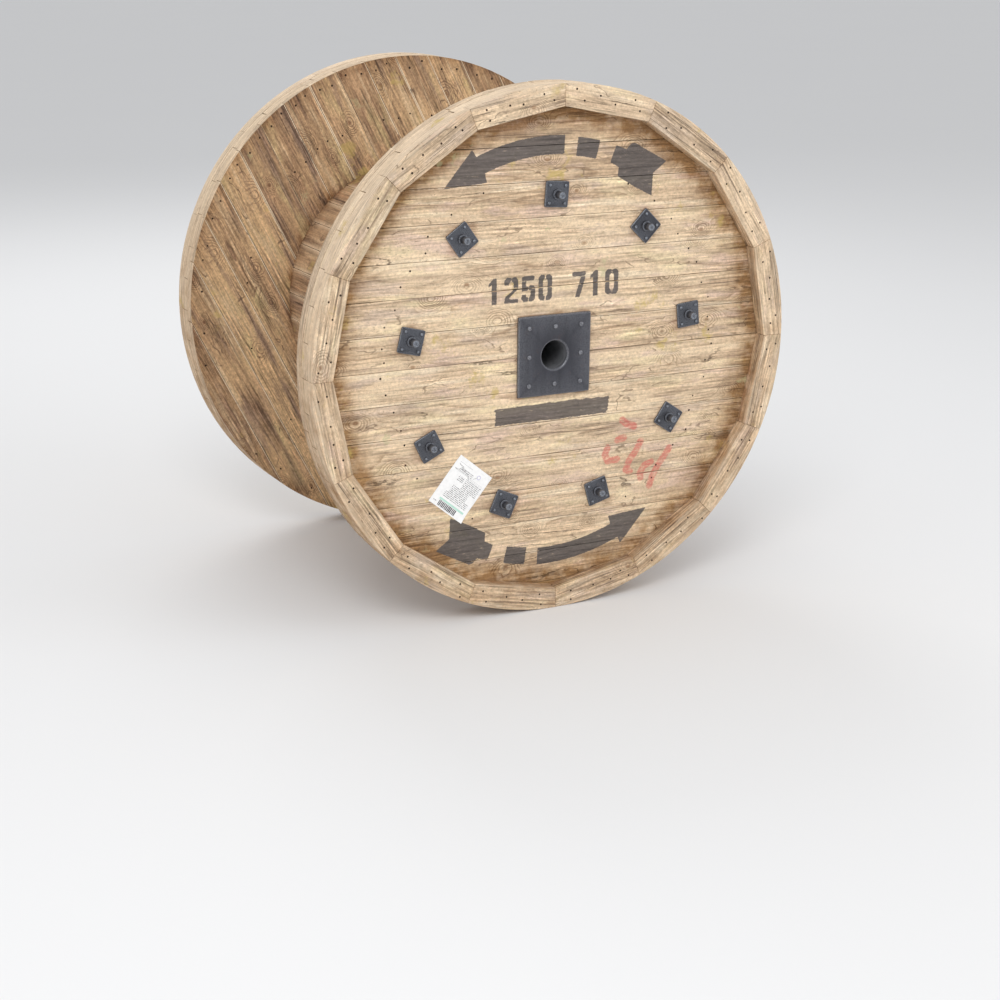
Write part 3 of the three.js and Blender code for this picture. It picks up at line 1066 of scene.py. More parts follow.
@dataclass(frozen=True)
class FlangeMarks:
    """Painted turning arrows, a bar, plain figures and a red scrawl, in mm from the axle."""

    centre: Point = (-7.0, -6.5)
    band: Point = (471.5, 514.5)
    number: StencilNumber = StencilNumber()
    marker_width: float = 21.0

    def paint(self) -> Field:
        """The dark paint. The lower arrow is the upper one, turned half round the centre.

        Returns:
            Its field.
        """
        head = [(-286.6, 401), (-214.9, 485), (-206.7, 470), (-183.9, 431), (-177.3, 409.7)]
        bow = [(156, 477.5), (184, 467.5), (194, 478.5), (205, 481.5), (294, 434.5), (258, 409.5),
               (256, 356.5), (207, 380.5), (162, 406.5), (164, 427.5), (141, 439.5)]
        bar = [(-154, -117), (-152, -138), (-155, -159), (20, -160), (153, -158), (155, -140),
               (158, -116), (0, -115)]
        low, high = self.band
        arrow = union([band_field(low, high, -23.6, 3.15, self.centre), polygon_field(head),
                       band_field(low - 3, high - 3, 7.0, 13.6, self.centre), polygon_field(bow)])

        def lower_arrow(places: np.ndarray) -> np.ndarray:
            """Millimetres inside the arrow that is turned half round."""
            return arrow(2 * np.array(self.centre) - places)

        return union([arrow, lower_arrow, polygon_field(bar), self.number.field()])

    def marker(self) -> Field:
        """The strokes of red marker.

        Returns:
            Their field.
        """
        lines = [
            [(196, -182), (208, -192), (230, -201)], [(202, -227), (184, -231)],
            [(156, -248), (149, -264), (158, -281), (184, -280)],
            [(250, -241), (236, -266), (219, -286), (210, -309), (222, -315)],
            [(282, -298), (262, -305), (251, -322), (253, -335)],
            [(333, -268), (317, -290), (300, -312), (286, -337), (279, -358)],
        ]
        return union(stroke_field(line, self.marker_width) for line in lines)


# --------------------------------------------------------------------------- timber blanks

X, Y, Z = (Vector(axis) for axis in ((1, 0, 0), (0, 1, 0), (0, 0, 1)))


def log_grain(dice: random.Random, offset: float, deepest: float, *axes: np.ndarray) -> np.ndarray:
    """The grain's vector, measured from the heart of the log.

    Args:
        dice: draws the place of the heart.
        offset: how far the heart may lie to either side of the timber's middle line.
        deepest: how far below the shown face it may lie.
        *axes: places along the timber, across it and above its shown face.

    Returns:
        A row for each place.
    """
    heart = (dice.uniform(0, 40), dice.uniform(-offset, offset), -dice.uniform(0.012, deepest))
    return np.stack(axes, 1) + heart


def clock(radius: float, angle: float, aside: float = 0.0) -> Point:
    """A point round the axle.

    Args:
        radius: its distance outwards.
        angle: its clockwise angle from 12 o'clock, in radians.
        aside: its distance to the right of the radius.

    Returns:
        Its places to the right and up.
    """
    sine, cosine = math.sin(angle), math.cos(angle)
    return sine * radius + cosine * aside, cosine * radius - sine * aside


def turned_by(angle: float, x: Places, y: Places) -> tuple[Places, Places]:
    """Turns places anticlockwise round the axle.

    Args:
        angle: the turn in radians.
        x: places to the right.
        y: places upwards.

    Returns:
        The turned places to the right and upwards.
    """
    sine, cosine = math.sin(angle), math.cos(angle)
    return x * cosine - y * sine, x * sine + y * cosine


def square_gap(x: np.ndarray, y: np.ndarray, half: float, turn: float) -> np.ndarray:
    """Distance from a turned square.

    Args:
        x: places to the right of its centre.
        y: places above its centre.
        half: half its side.
        turn: its anticlockwise turn, in radians.

    Returns:
        Metres outside the square, 0 inside it.
    """
    return np.hypot(*(np.maximum(np.abs(gap) - half, 0) for gap in turned_by(-turn, x, y)))


def fall(values: np.ndarray, reach: float) -> np.ndarray:
    """1 at a value of 0, evenly down to 0 at the reach, and never outside them."""
    return np.clip(1 - values / reach, 0, 1)


def rim_share(places: np.ndarray, ease: float) -> np.ndarray:
    """1 on the round edge of the flange, 0 elsewhere."""
    radius = np.hypot(places[:, 0], places[:, 1])
    return np.clip(1 + (radius - radius.max() + 0.00025) / (ease * 0.45), 0, 1)


def lowness(height: np.ndarray) -> np.ndarray:
    """How near the floor a height above the axle is, from 0 to 0.95."""
    return np.clip(0.50 - 0.9 * height / SIZES.radius, 0, 1)


def wobble(values: np.ndarray, scale: float, seed: float) -> np.ndarray:
    """Smooth noise along a line.

    Args:
        values: places along the line.
        scale: how quickly it changes.
        seed: picks the noise.

    Returns:
        A number from about -1 to 1 for each place.
    """
    return np.array([noise.noise(Vector((v * scale, seed * 7.31, seed * 1.7))) for v in values])


def disc(radius: float, flats: int) -> bmesh.types.BMesh:
    """A flat disc on z = 0.

    Args:
        radius: distance of its corners from the axle.
        flats: how many corners it has.

    Returns:
        The disc as one face.
    """
    bm = bmesh.new()
    bmesh.ops.create_circle(bm, cap_ends=True, segments=flats, radius=radius,
                            matrix=Matrix.Rotation(math.pi / flats, 4, "Z"))
    return bm


def cut(bm: bmesh.types.BMesh, normal: Vector, distance: float,
        faces: Optional[Sequence[bmesh.types.BMFace]] = None, away: bool = False) -> None:
    """Adds edges where a plane crosses the mesh, or cuts away what lies beyond it.

    Args:
        bm: the mesh.
        normal: the plane's normal, which points to the side that goes.
        distance: the plane's distance from the origin along its normal.
        faces: the faces to cut, or None for all.
        away: cuts the far side away.
    """
    geometry = bm.verts[:] + bm.edges[:] + bm.faces[:]
    if faces is not None:
        edges = {e for f in faces for e in f.edges}
        geometry = [*{v for e in edges for v in e.verts}, *edges, *faces]
    bmesh.ops.bisect_plane(bm, geom=geometry, dist=1e-6, plane_co=normal * distance,
                           plane_no=normal, clear_outer=away)


def wedge(bm: bmesh.types.BMesh, half: float, gap: float, inner: float) -> None:
    """Saws a wedge about 12 o'clock out of a flat disc.

    Args:
        bm: the disc.
        half: half the wedge's angle, in radians.
        gap: the joint that it leaves to the next wedge.
        inner: distance of its straight inner edge from the axle.
    """
    for hand in HANDS:
        normal = Vector((hand * math.cos(half), -math.sin(half), 0))
        cut(bm, normal, -gap / 2, away=True)
    cut(bm, -Y, -inner, away=True)


def notch(bm: bmesh.types.BMesh, radius: float, flats: int = 32) -> None:
    """Cuts the half round of the bore out of the edge of a flat outline.

    Args:
        bm: a flat mesh on z = 0 whose edge passes through the axle.
        radius: radius of the bore.
        flats: flats round the whole bore.
    """
    for hand, axis in product(HANDS, (X, Y)):
        cut(bm, axis, hand * radius * 1.2)
    for k in range(flats):
        angle = FULL_TURN * (k + 0.5) / flats
        near = [f for f in bm.faces if max(v.co.length for v in f.verts) < radius * 2]
        cut(bm, Vector((math.cos(angle), math.sin(angle), 0)), radius, near)
    corner = radius / math.cos(math.pi / flats) + 1e-5
    bore = [f for f in bm.faces if max(v.co.length for v in f.verts) < corner]
    bmesh.ops.delete(bm, geom=bore, context="FACES")
    bmesh.ops.dissolve_limit(bm, angle_limit=math.radians(0.5), use_dissolve_boundaries=False,
                             verts=bm.verts[:], edges=bm.edges[:])


def thicken(bm: bmesh.types.BMesh, thickness: float) -> None:
    """Gives a flat outline its thickness towards +Z.

    Args:
        bm: the outline, on z = 0.
        thickness: the thickness.
    """
    raised = bmesh.ops.extrude_face_region(bm, geom=bm.faces[:])
    verts = [g for g in raised["geom"] if isinstance(g, bmesh.types.BMVert)]
    bmesh.ops.translate(bm, verts=verts, vec=(0, 0, thickness))
    bmesh.ops.recalc_face_normals(bm, faces=bm.faces[:])


def ease_edges(bm: bmesh.types.BMesh, sharper: float,
               group: Callable[[list[Vector]], Optional[bool]], wanted: Optional[bool],
               offset: float, steps: int, kind: str = "OFFSET") -> None:
    """Bevels the sharp edges of one group.

    Args:
        bm: the mesh.
        sharper: the least angle of a sharp edge, in degrees.
        group: gives the group of an edge from the places of its ends.
        wanted: the group that is bevelled, or None for every edge.
        offset: how much is taken off.
        steps: segments of the bevel.
        kind: how the offset is measured.
    """
    edges = [e for e in bm.edges if e.is_manifold and e.calc_face_angle() > math.radians(sharper)
             and wanted in (None, group([v.co for v in e.verts]))]
    bmesh.ops.bevel(bm, geom=edges, offset=offset, offset_type=kind, segments=steps, profile=0.5,
                    affect="EDGES", clamp_overlap=True, material=-1)


def raise_and_ease(bm: bmesh.types.BMesh, thickness: float, ease: float,
                   rim_ease: Optional[float] = None) -> None:
    """Gives a flat outline its thickness towards +Z and rounds its arrises.

    Args:
        bm: a mesh of one flat face on z = 0.
        thickness: the timber's thickness.
        ease: how much is taken off each arris.
        rim_ease: how much is taken off the arrises round the rim, or None for the same.
    """
    bmesh.ops.remove_doubles(bm, verts=bm.verts[:], dist=2.4 * ease)
    thicken(bm, thickness)
    limit = max(v.co.xy.length for v in bm.verts) - 0.0009

    def on_rim(ends: list[Vector]) -> bool:
        """Tells if an edge lies on the round of the rim."""
        return min(p.xy.length for p in ends) > limit

    for wanted, offset in [(True, rim_ease), (False, ease)] if rim_ease else [(None, ease)]:
        ease_edges(bm, 25, on_rim, wanted, offset, 2)


# --------------------------------------------------------------------------- meshes


def coordinates(mesh: bpy.types.Mesh) -> np.ndarray:
    """Reads the vertices of a mesh.

    Args:
        mesh: the mesh.

    Returns:
        A row for each vertex.
    """
    places = np.empty(len(mesh.vertices) * 3)
    mesh.vertices.foreach_get("co", places)
    return places.reshape(-1, 3)


def set_coordinates(mesh: bpy.types.Mesh, places: np.ndarray) -> None:
    """Moves the vertices of a mesh to the rows of an array."""
    mesh.vertices.foreach_set("co", places.ravel())
    mesh.update()


def write(mesh: bpy.types.Mesh, **attributes: Union[float, np.ndarray]) -> None:
    """Writes attributes of the vertices.

    Args:
        mesh: the mesh.
        **attributes: by name, a number for all the vertices or a row for each.
    """
    for name, values in attributes.items():
        if np.ndim(values) == 0:
            values = np.full(len(mesh.vertices), values)
        kind, item = ("FLOAT_VECTOR", "vector") if values.ndim == 2 else ("FLOAT", "value")
        layer = mesh.attributes.get(name) or mesh.attributes.new(name, kind, "POINT")
        layer.data.foreach_set(item, np.ascontiguousarray(values, np.float32).ravel())


def solid_mesh(bm: bmesh.types.BMesh, smooth_below: float = 20.0) -> bpy.types.Mesh:
    """Turns a bmesh into a mesh and frees it.

    Args:
        bm: the bmesh.
        smooth_below: edges flatter than this angle, in degrees, are smooth.

    Returns:
        The mesh.
    """
    mesh = bpy.data.meshes.new("part")
    bm.to_mesh(mesh)
    bm.free()
    mesh.shade_smooth()
    mesh.set_sharp_from_angle(angle=math.radians(smooth_below))
    return mesh


def turned(profile: Sequence[Point], segments: int) -> bpy.types.Mesh:
    """Turns a profile round the Z axis.

    Args:
        profile: radius and height of its points; it starts or ends on the axis if closed.
        segments: steps round.

    Returns:
        The turned mesh, with an arris attribute of 0.
    """
    bm = bmesh.new()
    verts = [bm.verts.new((r, 0, z)) for r, z in profile]
    edges = [bm.edges.new(pair) for pair in zip(verts[:-1], verts[1:])]
    bmesh.ops.spin(bm, geom=verts + edges, cent=(0, 0, 0), axis=Z, angle=FULL_TURN,
                   steps=segments, use_merge=True)
    bmesh.ops.remove_doubles(bm, verts=bm.verts[:], dist=1e-6)
    bmesh.ops.recalc_face_normals(bm, faces=bm.faces[:])
    mesh = solid_mesh(bm, 50.0)
    write(mesh, arris=0.0)
    return mesh


def add_object(name: str, data: bpy.types.ID) -> bpy.types.Object:
    """Makes an object and links it to the scene.

    Args:
        name: its name.
        data: its mesh, lamp or camera.

    Returns:
        The object.
    """
    made = bpy.data.objects.new(name, data)
    bpy.context.scene.collection.objects.link(made)
    return made


def dress(thing: bpy.types.Object, finish: Finish) -> None:
    """Gives an object its finish and no other."""
    thing.data.materials.clear()
    thing.data.materials.append(bpy.data.materials.get(finish.name) or finish.material())


def finish_piece(name: str, meshes: Sequence[bpy.types.Mesh], matrix: Matrix, finish: Finish,
                 *nodes: str) -> None:
    """Joins meshes into one piece, dresses it and tells the frame about it.

    Args:
        name: the piece's name.
        meshes: the meshes, which are used up.
        matrix: takes them to the drum's frame.
        finish: the piece's finish.
        *nodes: the CAD nodes that it stands for.
    """
    objects = [add_object(name, mesh) for mesh in meshes]
    piece = objects[0]
    with bpy.context.temp_override(active_object=piece, object=piece, selected_objects=objects,
                                   selected_editable_objects=objects):
        if len(objects) > 1:
            bpy.ops.object.join()
    piece.name = piece.data.name = name
    piece.data.transform(matrix)
    dress(piece, finish)
    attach(piece, "root")
    if nodes:
        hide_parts(*nodes)
    piece.data.calc_loop_triangles()
    log.info("%s: %d triangles", piece.name, len(piece.data.loop_triangles))


# --------------------------------------------------------------------------- flanges


@dataclass
class BoardLayer:
    """One layer of a flange: parallel boards sawn to the round, with open joints."""

    side: Side
    name: str
    turn: float  # degrees
    low: float
    finish: TimberFinish
    seed: int
    show_top: bool
    tone_spread: float = 0.62
    joint: float = 0.0008
    ease: float = 0.0008
    rim_ease: float = 0.0005
    short: Point = (0.0003, 0.0011)  # range of how far its round lies inside the rim's
    worn_width: float = 0.0036
    bore_room: float = 0.0043
    sink: float = 0.0004
    cupping: Point = (-0.0006, 0.0003)
    nibble: float = 0.00110
    fine_nibble: float = 0.00035
    least_area: float = 4e-4  # a smaller strip isn't worth a board
    score_reach: float = 0.615
    score_pitch: float = 0.03
    score_shares: tuple[float, ...] = (0.16, 0.38, 0.62, 0.84)  # of the board's width
    mark_reach: float = 0.56
    mark_pitch: float = 0.004
    mark_room: float = 7.0  # millimetres of fine grid round a mark
    marks: Optional[FlangeMarks] = None
    sizes: DrumSizes = SIZES

    @property
    def face(self) -> float:
        """Height of the face that shows."""
        return self.sizes.board_thickness if self.show_top else 0.0

    def board(self, index: int) -> Optional[bpy.types.Mesh]:
        """Saws and weathers one board, flat on z = 0, with its length along X.

        Args:
            index: counts the boards upwards; board 0 has its lower joint on the axle.

        Returns:
            The board's mesh, or None where hardly any of it lies inside the round.
        """
        size = self.sizes
        dice = random.Random(self.seed * 100 + index)
        low, high = index * size.board_width, (index + 1) * size.board_width
        bm = disc(size.radius - dice.uniform(*self.short), size.edge_flats)
        cut(bm, Y, high - self.joint / 2, away=True)
        cut(bm, -Y, -low - self.joint / 2, away=True)
        if sum(f.calc_area() for f in bm.faces) < self.least_area:
            bm.free()
            return None
        if index in (-1, 0):
            notch(bm, size.bore_radius + self.bore_room)
        raise_and_ease(bm, size.board_thickness, self.ease, self.rim_ease)
        self.score(bm, low, high)
        mesh = solid_mesh(bm)
        tone = dice.uniform(-self.tone_spread, self.tone_spread) * 0.5
        self.weather(mesh, self.seed * 1000 + index, (low + high) / 2, tone)
        return mesh

    def score(self, bm: bmesh.types.BMesh, low: float, high: float) -> None:
        """Adds the edges that let the board wave and hold its marks.

        Args:
            bm: the board.
            low: height of its lower joint.
            high: height of its upper joint.
        """
        for x in np.arange(-self.score_reach, self.score_reach + self.score_pitch / 2,
                           self.score_pitch):
            cut(bm, X, x)

        def shown() -> list[bmesh.types.BMFace]:
            """The flat faces of the side that shows."""
            return [f for f in bm.faces if abs(f.normal.z) > 0.99
                    and abs(f.calc_center_median().z - self.face) < 1e-5]

        wide, worn = self.sizes.board_width, self.joint / 2 + self.worn_width
        for gap in (worn, *(share * wide for share in self.score_shares), wide - worn):
            cut(bm, Y, low + gap, shown())
        if self.marks is None:
            return

        # a finer grid where the marks are
        pitch = self.mark_pitch
        columns = np.arange(-self.mark_reach, self.mark_reach, pitch)
        rows = np.arange(low + pitch / 2, high, pitch)
        depth = union([self.marks.paint(), self.marks.marker()])(
            np.array(list(product(columns, rows))) / MM)
        touched = columns[depth.reshape(len(columns), -1).max(axis=1) > -self.mark_room]
        for x in touched:
            cut(bm, X, x, shown())
        for y in rows if len(touched) else ():
            cut(bm, Y, y, [f for f in shown() if max(v.co.x for v in f.verts)
                           - min(v.co.x for v in f.verts) < 1.3 * pitch])

    def weather(self, mesh: bpy.types.Mesh, seed: int, middle: float, tone: float) -> None:
        """Waves and cups the board, wears its joints and writes its attributes.

        Args:
            mesh: the board's mesh.
            seed: picks its grain and wear.
            middle: height of its middle line.
            tone: how dark it is, about 0.
        """
        size, dice, places = self.sizes, random.Random(seed), coordinates(mesh)
        along, across, deep = (places - (0, middle, 0)).T
        half, sign = size.board_width / 2, 1.0 if self.show_top else -1.0
        to_joint = half - self.joint / 2 - np.abs(across)
        to_face = np.abs(self.face - deep)
        arris = fall(to_joint - self.ease, self.worn_width - self.ease)
        arris *= fall(to_face, self.ease * 2.2)
        arris *= np.where(across * dice.choice(HANDS) > 0, 1.0, 0.30)
        rim = rim_share(places, self.rim_ease)
        drop = self.sink + self.sink * wobble(along, 2.2, seed % 97)
        cup = dice.uniform(*self.cupping) * (np.abs(across) / half) ** 2
        outer = (deep - size.board_thickness / 2) * sign > 0
        places[:, 2] += sign * np.where(outer, -np.abs(drop) + np.minimum(cup, 0.0), 0.0)
        nibble = self.nibble * wobble(along, 7.0, seed % 89 + 0.5)
        nibble += self.fine_nibble * wobble(along, 17.0, seed % 83)
        edge = (to_joint < self.ease * 1.2) & (to_face < self.ease * 3)
        places[:, 1] -= np.where(edge, np.sign(across) * np.abs(nibble), 0.0)
        set_coordinates(mesh, places)

        x, y = turned_by(math.radians(self.turn), places[:, 0], places[:, 1])
        soil, rust = self.stains_and_shade(x, y)
        shown = to_face < 0.004
        grain = log_grain(random.Random(seed), 0.05, 0.075, along, across,
                          (deep - self.face) * sign)
        # the shown face gets soil with painted shade; the other faces are darker towards the
        # bottom
        write(mesh, grain=grain, tone=tone, arris=arris, rim=rim, rust=np.where(shown, rust, 0.0),
              soil=np.where(shown & (rim < 0.5), soil, 0.08 + 0.60 * lowness(y)))
        if self.finish.painted:
            flat = np.stack([x, y], 1) / MM
            for name in ("paint", "marker"):
                depth = getattr(self.marks, name)()(flat) if self.marks else -FIELD_END
                depth = np.clip(depth, -FIELD_END, FIELD_END)
                write(mesh, **{name: np.where(shown, depth, -FIELD_END)})

    def stains_and_shade(self, x: np.ndarray, y: np.ndarray) -> tuple[np.ndarray, np.ndarray]:
        """Soil and painted shade near the rim and the barrel, and rust round the ironwork.

        Args:
            x: places to the right of the axle, in metres.
            y: places above the axle.

        Returns:
            Soil with painted shade, and rust, from 0 to 1.
        """
        size = self.sizes
        radius = np.hypot(x, y) + 1e-9
        if not self.show_top:
            # inner face: soil near the rim, and painted shade where the barrel meets the boards
            soil = np.exp(-(size.radius - radius) / 0.030) * 0.6
            soil += np.exp(-np.abs(radius - size.barrel_radius) / 0.012) * 0.9
            return np.clip(soil, 0, 1), np.zeros_like(x)
        # outer face: soil, painted shadow and corner shade along the felloes, darkest at the upper
        # left
        gap = np.full(len(x), 1.0)
        for i in range(size.felloes):
            right, up = clock(1.0, (i + 0.5) * FULL_TURN / size.felloes)
            gap = np.minimum(gap, size.radius - size.felloe_width - (x * right + y * up))
        lean = np.clip(0.5 + 0.5 * (0.66 * x - 0.75 * y) / radius, 0, 1)
        reach = 0.035 + 0.018 * lean
        soil = np.exp(-(np.maximum(gap, 0) / reach) ** 2) * (1.30 - 0.48 * lean)
        rust = 0.9 * np.exp(-square_gap(x, y, size.plate_half, 0.0) / 0.0035)
        for i in range(size.studs):
            angle = i * FULL_TURN / size.studs
            right, up = clock(size.stud_circle, angle)
            turn = angle + math.radians(size.stud_twist)
            rust += 0.7 * np.exp(-square_gap(x - right, y - up, size.stud_half, -turn) / 0.003)
        return np.clip(soil, 0, 1), np.clip(rust, 0, 1)

    def build(self) -> None:
        """Saws, weathers and joins the boards."""
        count = math.ceil(self.sizes.radius / self.sizes.board_width)
        meshes = [self.board(index) for index in range(-count, count)]
        turn = Matrix.Rotation(math.radians(self.turn), 4, "Z")
        place = self.side.matrix @ Matrix.Translation(Z * self.low) @ turn
        finish_piece(f"{self.name}_set", [mesh for mesh in meshes if mesh is not None], place,
                     self.finish, self.name)


@dataclass
class FelloeRing:
    """The rim: mitred felloes, straight inside and round outside, proud of the boards."""

    side: Side
    seed: int
    ease: float = 0.0013
    rim_ease: float = 0.0006
    short: Point = (0.0, 0.0004)  # range of how far its round lies inside the rim's
    mitre_gap: float = 0.0004
    sink: float = 0.00025
    wave: float = 0.00035
    chip: float = 0.0007
    heart_height: float = 0.03  # of the grain's middle line above the inner edge
    score_reach: float = 0.105
    score_pitch: float = 0.021
    score_heights: Point = (0.018, 0.038)
    sizes: DrumSizes = SIZES

    def felloe(self, index: int) -> bpy.types.Mesh:
        """Saws and weathers one felloe about 12 o'clock, its outer face up.

        Args:
            index: counts the felloes clockwise.

        Returns:
            The felloe's mesh.
        """
        size = self.sizes
        dice = random.Random(self.seed * 100 + index)
        half = math.pi / size.felloes
        bm = disc(size.radius - dice.uniform(*self.short), size.edge_flats)
        inner = size.radius - size.felloe_width + dice.uniform(0.0, 0.0007)
        wedge(bm, half, self.mitre_gap, inner)
        raise_and_ease(bm, size.felloe_thickness, self.ease, self.rim_ease)
        for x in np.arange(-self.score_reach, self.score_reach + self.score_pitch / 2,
                           self.score_pitch):
            cut(bm, X, x)
        for height in self.score_heights:
            cut(bm, Y, inner + height)
        mesh = solid_mesh(bm)
        self.weather(mesh, self.seed * 1000 + index, inner, (2 * index + 1) * half,
                     dice.uniform(-0.4, 0.35))
        return mesh

    def weather(self, mesh: bpy.types.Mesh, seed: int, inner: float, turn: float,
                tone: float) -> None:
        """Waves the felloe, wears its arrises and writes its attributes.

        Args:
            mesh: the felloe's mesh.
            seed: picks its grain and wear.
            inner: height of its straight inner edge.
            turn: its clockwise turn from 12 o'clock, in radians.
            tone: how dark it is, about 0.
        """
        size, places = self.sizes, coordinates(mesh)
        along, across, deep = (places - (0, inner + self.heart_height, 0)).T
        to_face, to_chord = size.felloe_thickness - deep, places[:, 1] - inner
        radius = np.hypot(places[:, 0], places[:, 1])
        rim = rim_share(places, self.rim_ease)
        arris = fall(np.minimum(to_chord, size.apothem - radius), self.ease * 1.6)
        arris *= fall(to_face, self.ease * 2.2)
        drop = self.sink + self.wave * np.abs(wobble(along, 7.0, seed % 97))
        places[:, 2] -= np.where(deep > size.felloe_thickness / 2, drop, 0.0)
        chip = self.chip * np.abs(wobble(along, 30.0, seed % 89))
        near = (to_chord < self.ease * 1.1) & (to_face < self.ease * 2)
        places[:, 1] += np.where(near, chip, 0.0)
        set_coordinates(mesh, places)

        corner = np.clip(np.abs(along) / 0.11, 0, 1) ** 6
        soil = 0.35 * corner + 0.30 * np.exp(-np.maximum(to_face, 0) / 0.02)
        # painted shade down the inner wall of the ring, darker towards the boards
        inside = 0.27 + 0.34 * to_face / size.felloe_thickness
        soil = np.where(to_chord < 0.0009, inside, soil * 0.4)
        # the rim is darker towards the bottom, and the rest a little
        low = lowness(radius * np.cos(turn + np.arctan2(places[:, 0], places[:, 1])))
        soil = np.where(rim > 0.5, 0.08 + 0.60 * low, soil + 0.20 * low)
        grain = log_grain(random.Random(seed), 0.05, 0.075, along, across, -to_face)
        write(mesh, grain=grain, tone=tone, arris=arris, rim=rim, rust=0.0,
              soil=np.clip(soil, 0, 1))

    def build(self) -> None:
        """Makes every felloe in its place."""
        lift = Matrix.Translation(Z * self.sizes.felloe_from)
        for index in range(self.sizes.felloes):
            turn = Matrix.Rotation(-(index + 0.5) * FULL_TURN / self.sizes.felloes, 4, "Z")
            node = f"{self.side.value}_felloe_{index + 1:02d}"
            finish_piece(f"{node}_timber", [self.felloe(index)], self.side.matrix @ lift @ turn,
                         RIM_TIMBER, node)


@dataclass
class NailField:
    """Dark nail heads in the felloes, the boards and the inner faces of a flange."""

    side: Side
    seed: int
    head_radius: float = 0.0033
    proud: float = 0.0004
    rim_sink: float = 0.00042
    board_sink: float = 0.0006
    inner_sink: float = 0.0004
    # in millimetres: along the felloe from its middle, and from the axle
    felloe_nails: tuple[Point, ...] = ((-88, 605), (-71, 580), (-31, 597), (16, 589), (70, 605),
                                       (79, 582))
    board_circle: float = 0.432
    inner_circles: Point = (0.600, 0.470)
    sizes: DrumSizes = SIZES

    def head(self, x: float, y: float, z: float, down: bool) -> bpy.types.Mesh:
        """One low round nail head.

        Args:
            x: place to the right of the axle.
            y: place above the axle.
            z: height of the timber's face.
            down: faces the barrel instead of the outside.

        Returns:
            The head's mesh, in flange coordinates.
        """
        bm = bmesh.new()
        flip = Matrix.Rotation(math.pi if down else 0.0, 4, "X")
        bmesh.ops.create_cone(bm, cap_ends=True, segments=10, radius1=self.head_radius,
                              radius2=self.head_radius * 0.62, depth=self.proud * 2,
                              matrix=Matrix.Translation((x, y, z)) @ flip)
        mesh = solid_mesh(bm, 50.0)
        write(mesh, arris=0.0)
        return mesh

    def spots(self) -> list[tuple[float, float, float, bool]]:
        """Where the nails are.

        Returns:
            Right, up and outward places, and whether the nail faces the barrel.
        """
        size, dice, spots = self.sizes, random.Random(self.seed), []
        rim = size.felloe_from + size.felloe_thickness
        for i in range(size.felloes):
            for s, r in self.felloe_nails:
                s, r = (s + dice.uniform(-9, 9)) * MM, (r + dice.uniform(-4, 4)) * MM
                place = clock(r, (i + 0.5) * FULL_TURN / size.felloes, s)
                spots.append((*place, rim - self.rim_sink, False))
        for k, offset in product(range(-6, 7), (0.022, 0.060)):
            y = k * size.board_width + offset + dice.uniform(-0.007, 0.007)
            circle = self.board_circle + dice.uniform(-0.008, 0.010)
            for hand in HANDS if abs(y) < circle - 0.012 else ():
                x = hand * math.sqrt(circle ** 2 - y ** 2) + dice.uniform(-0.008, 0.008)
                spots.append((x, y, size.board_face - self.board_sink, False))
        turn = math.radians(size.inner_turn)
        for k, offset in product(range(-8, 8), (0.020, 0.058)):
            y = k * size.board_width + offset + dice.uniform(-0.006, 0.006)
            for circle in self.inner_circles:
                r = circle + dice.uniform(-0.008, 0.010)
                if abs(y) < r - 0.01 and (circle > 0.5 or dice.random() < 0.6):
                    for hand in HANDS:
                        place = turned_by(turn, hand * math.sqrt(r ** 2 - y ** 2), y)
                        spots.append((*place, self.inner_sink, True))
        return spots

    def build(self) -> None:
        """Drives the nails, all in one piece."""
        meshes = [self.head(*spot) for spot in self.spots()]
        finish_piece(f"{self.side.value}_nail_heads", meshes, self.side.matrix, NAIL_IRON)


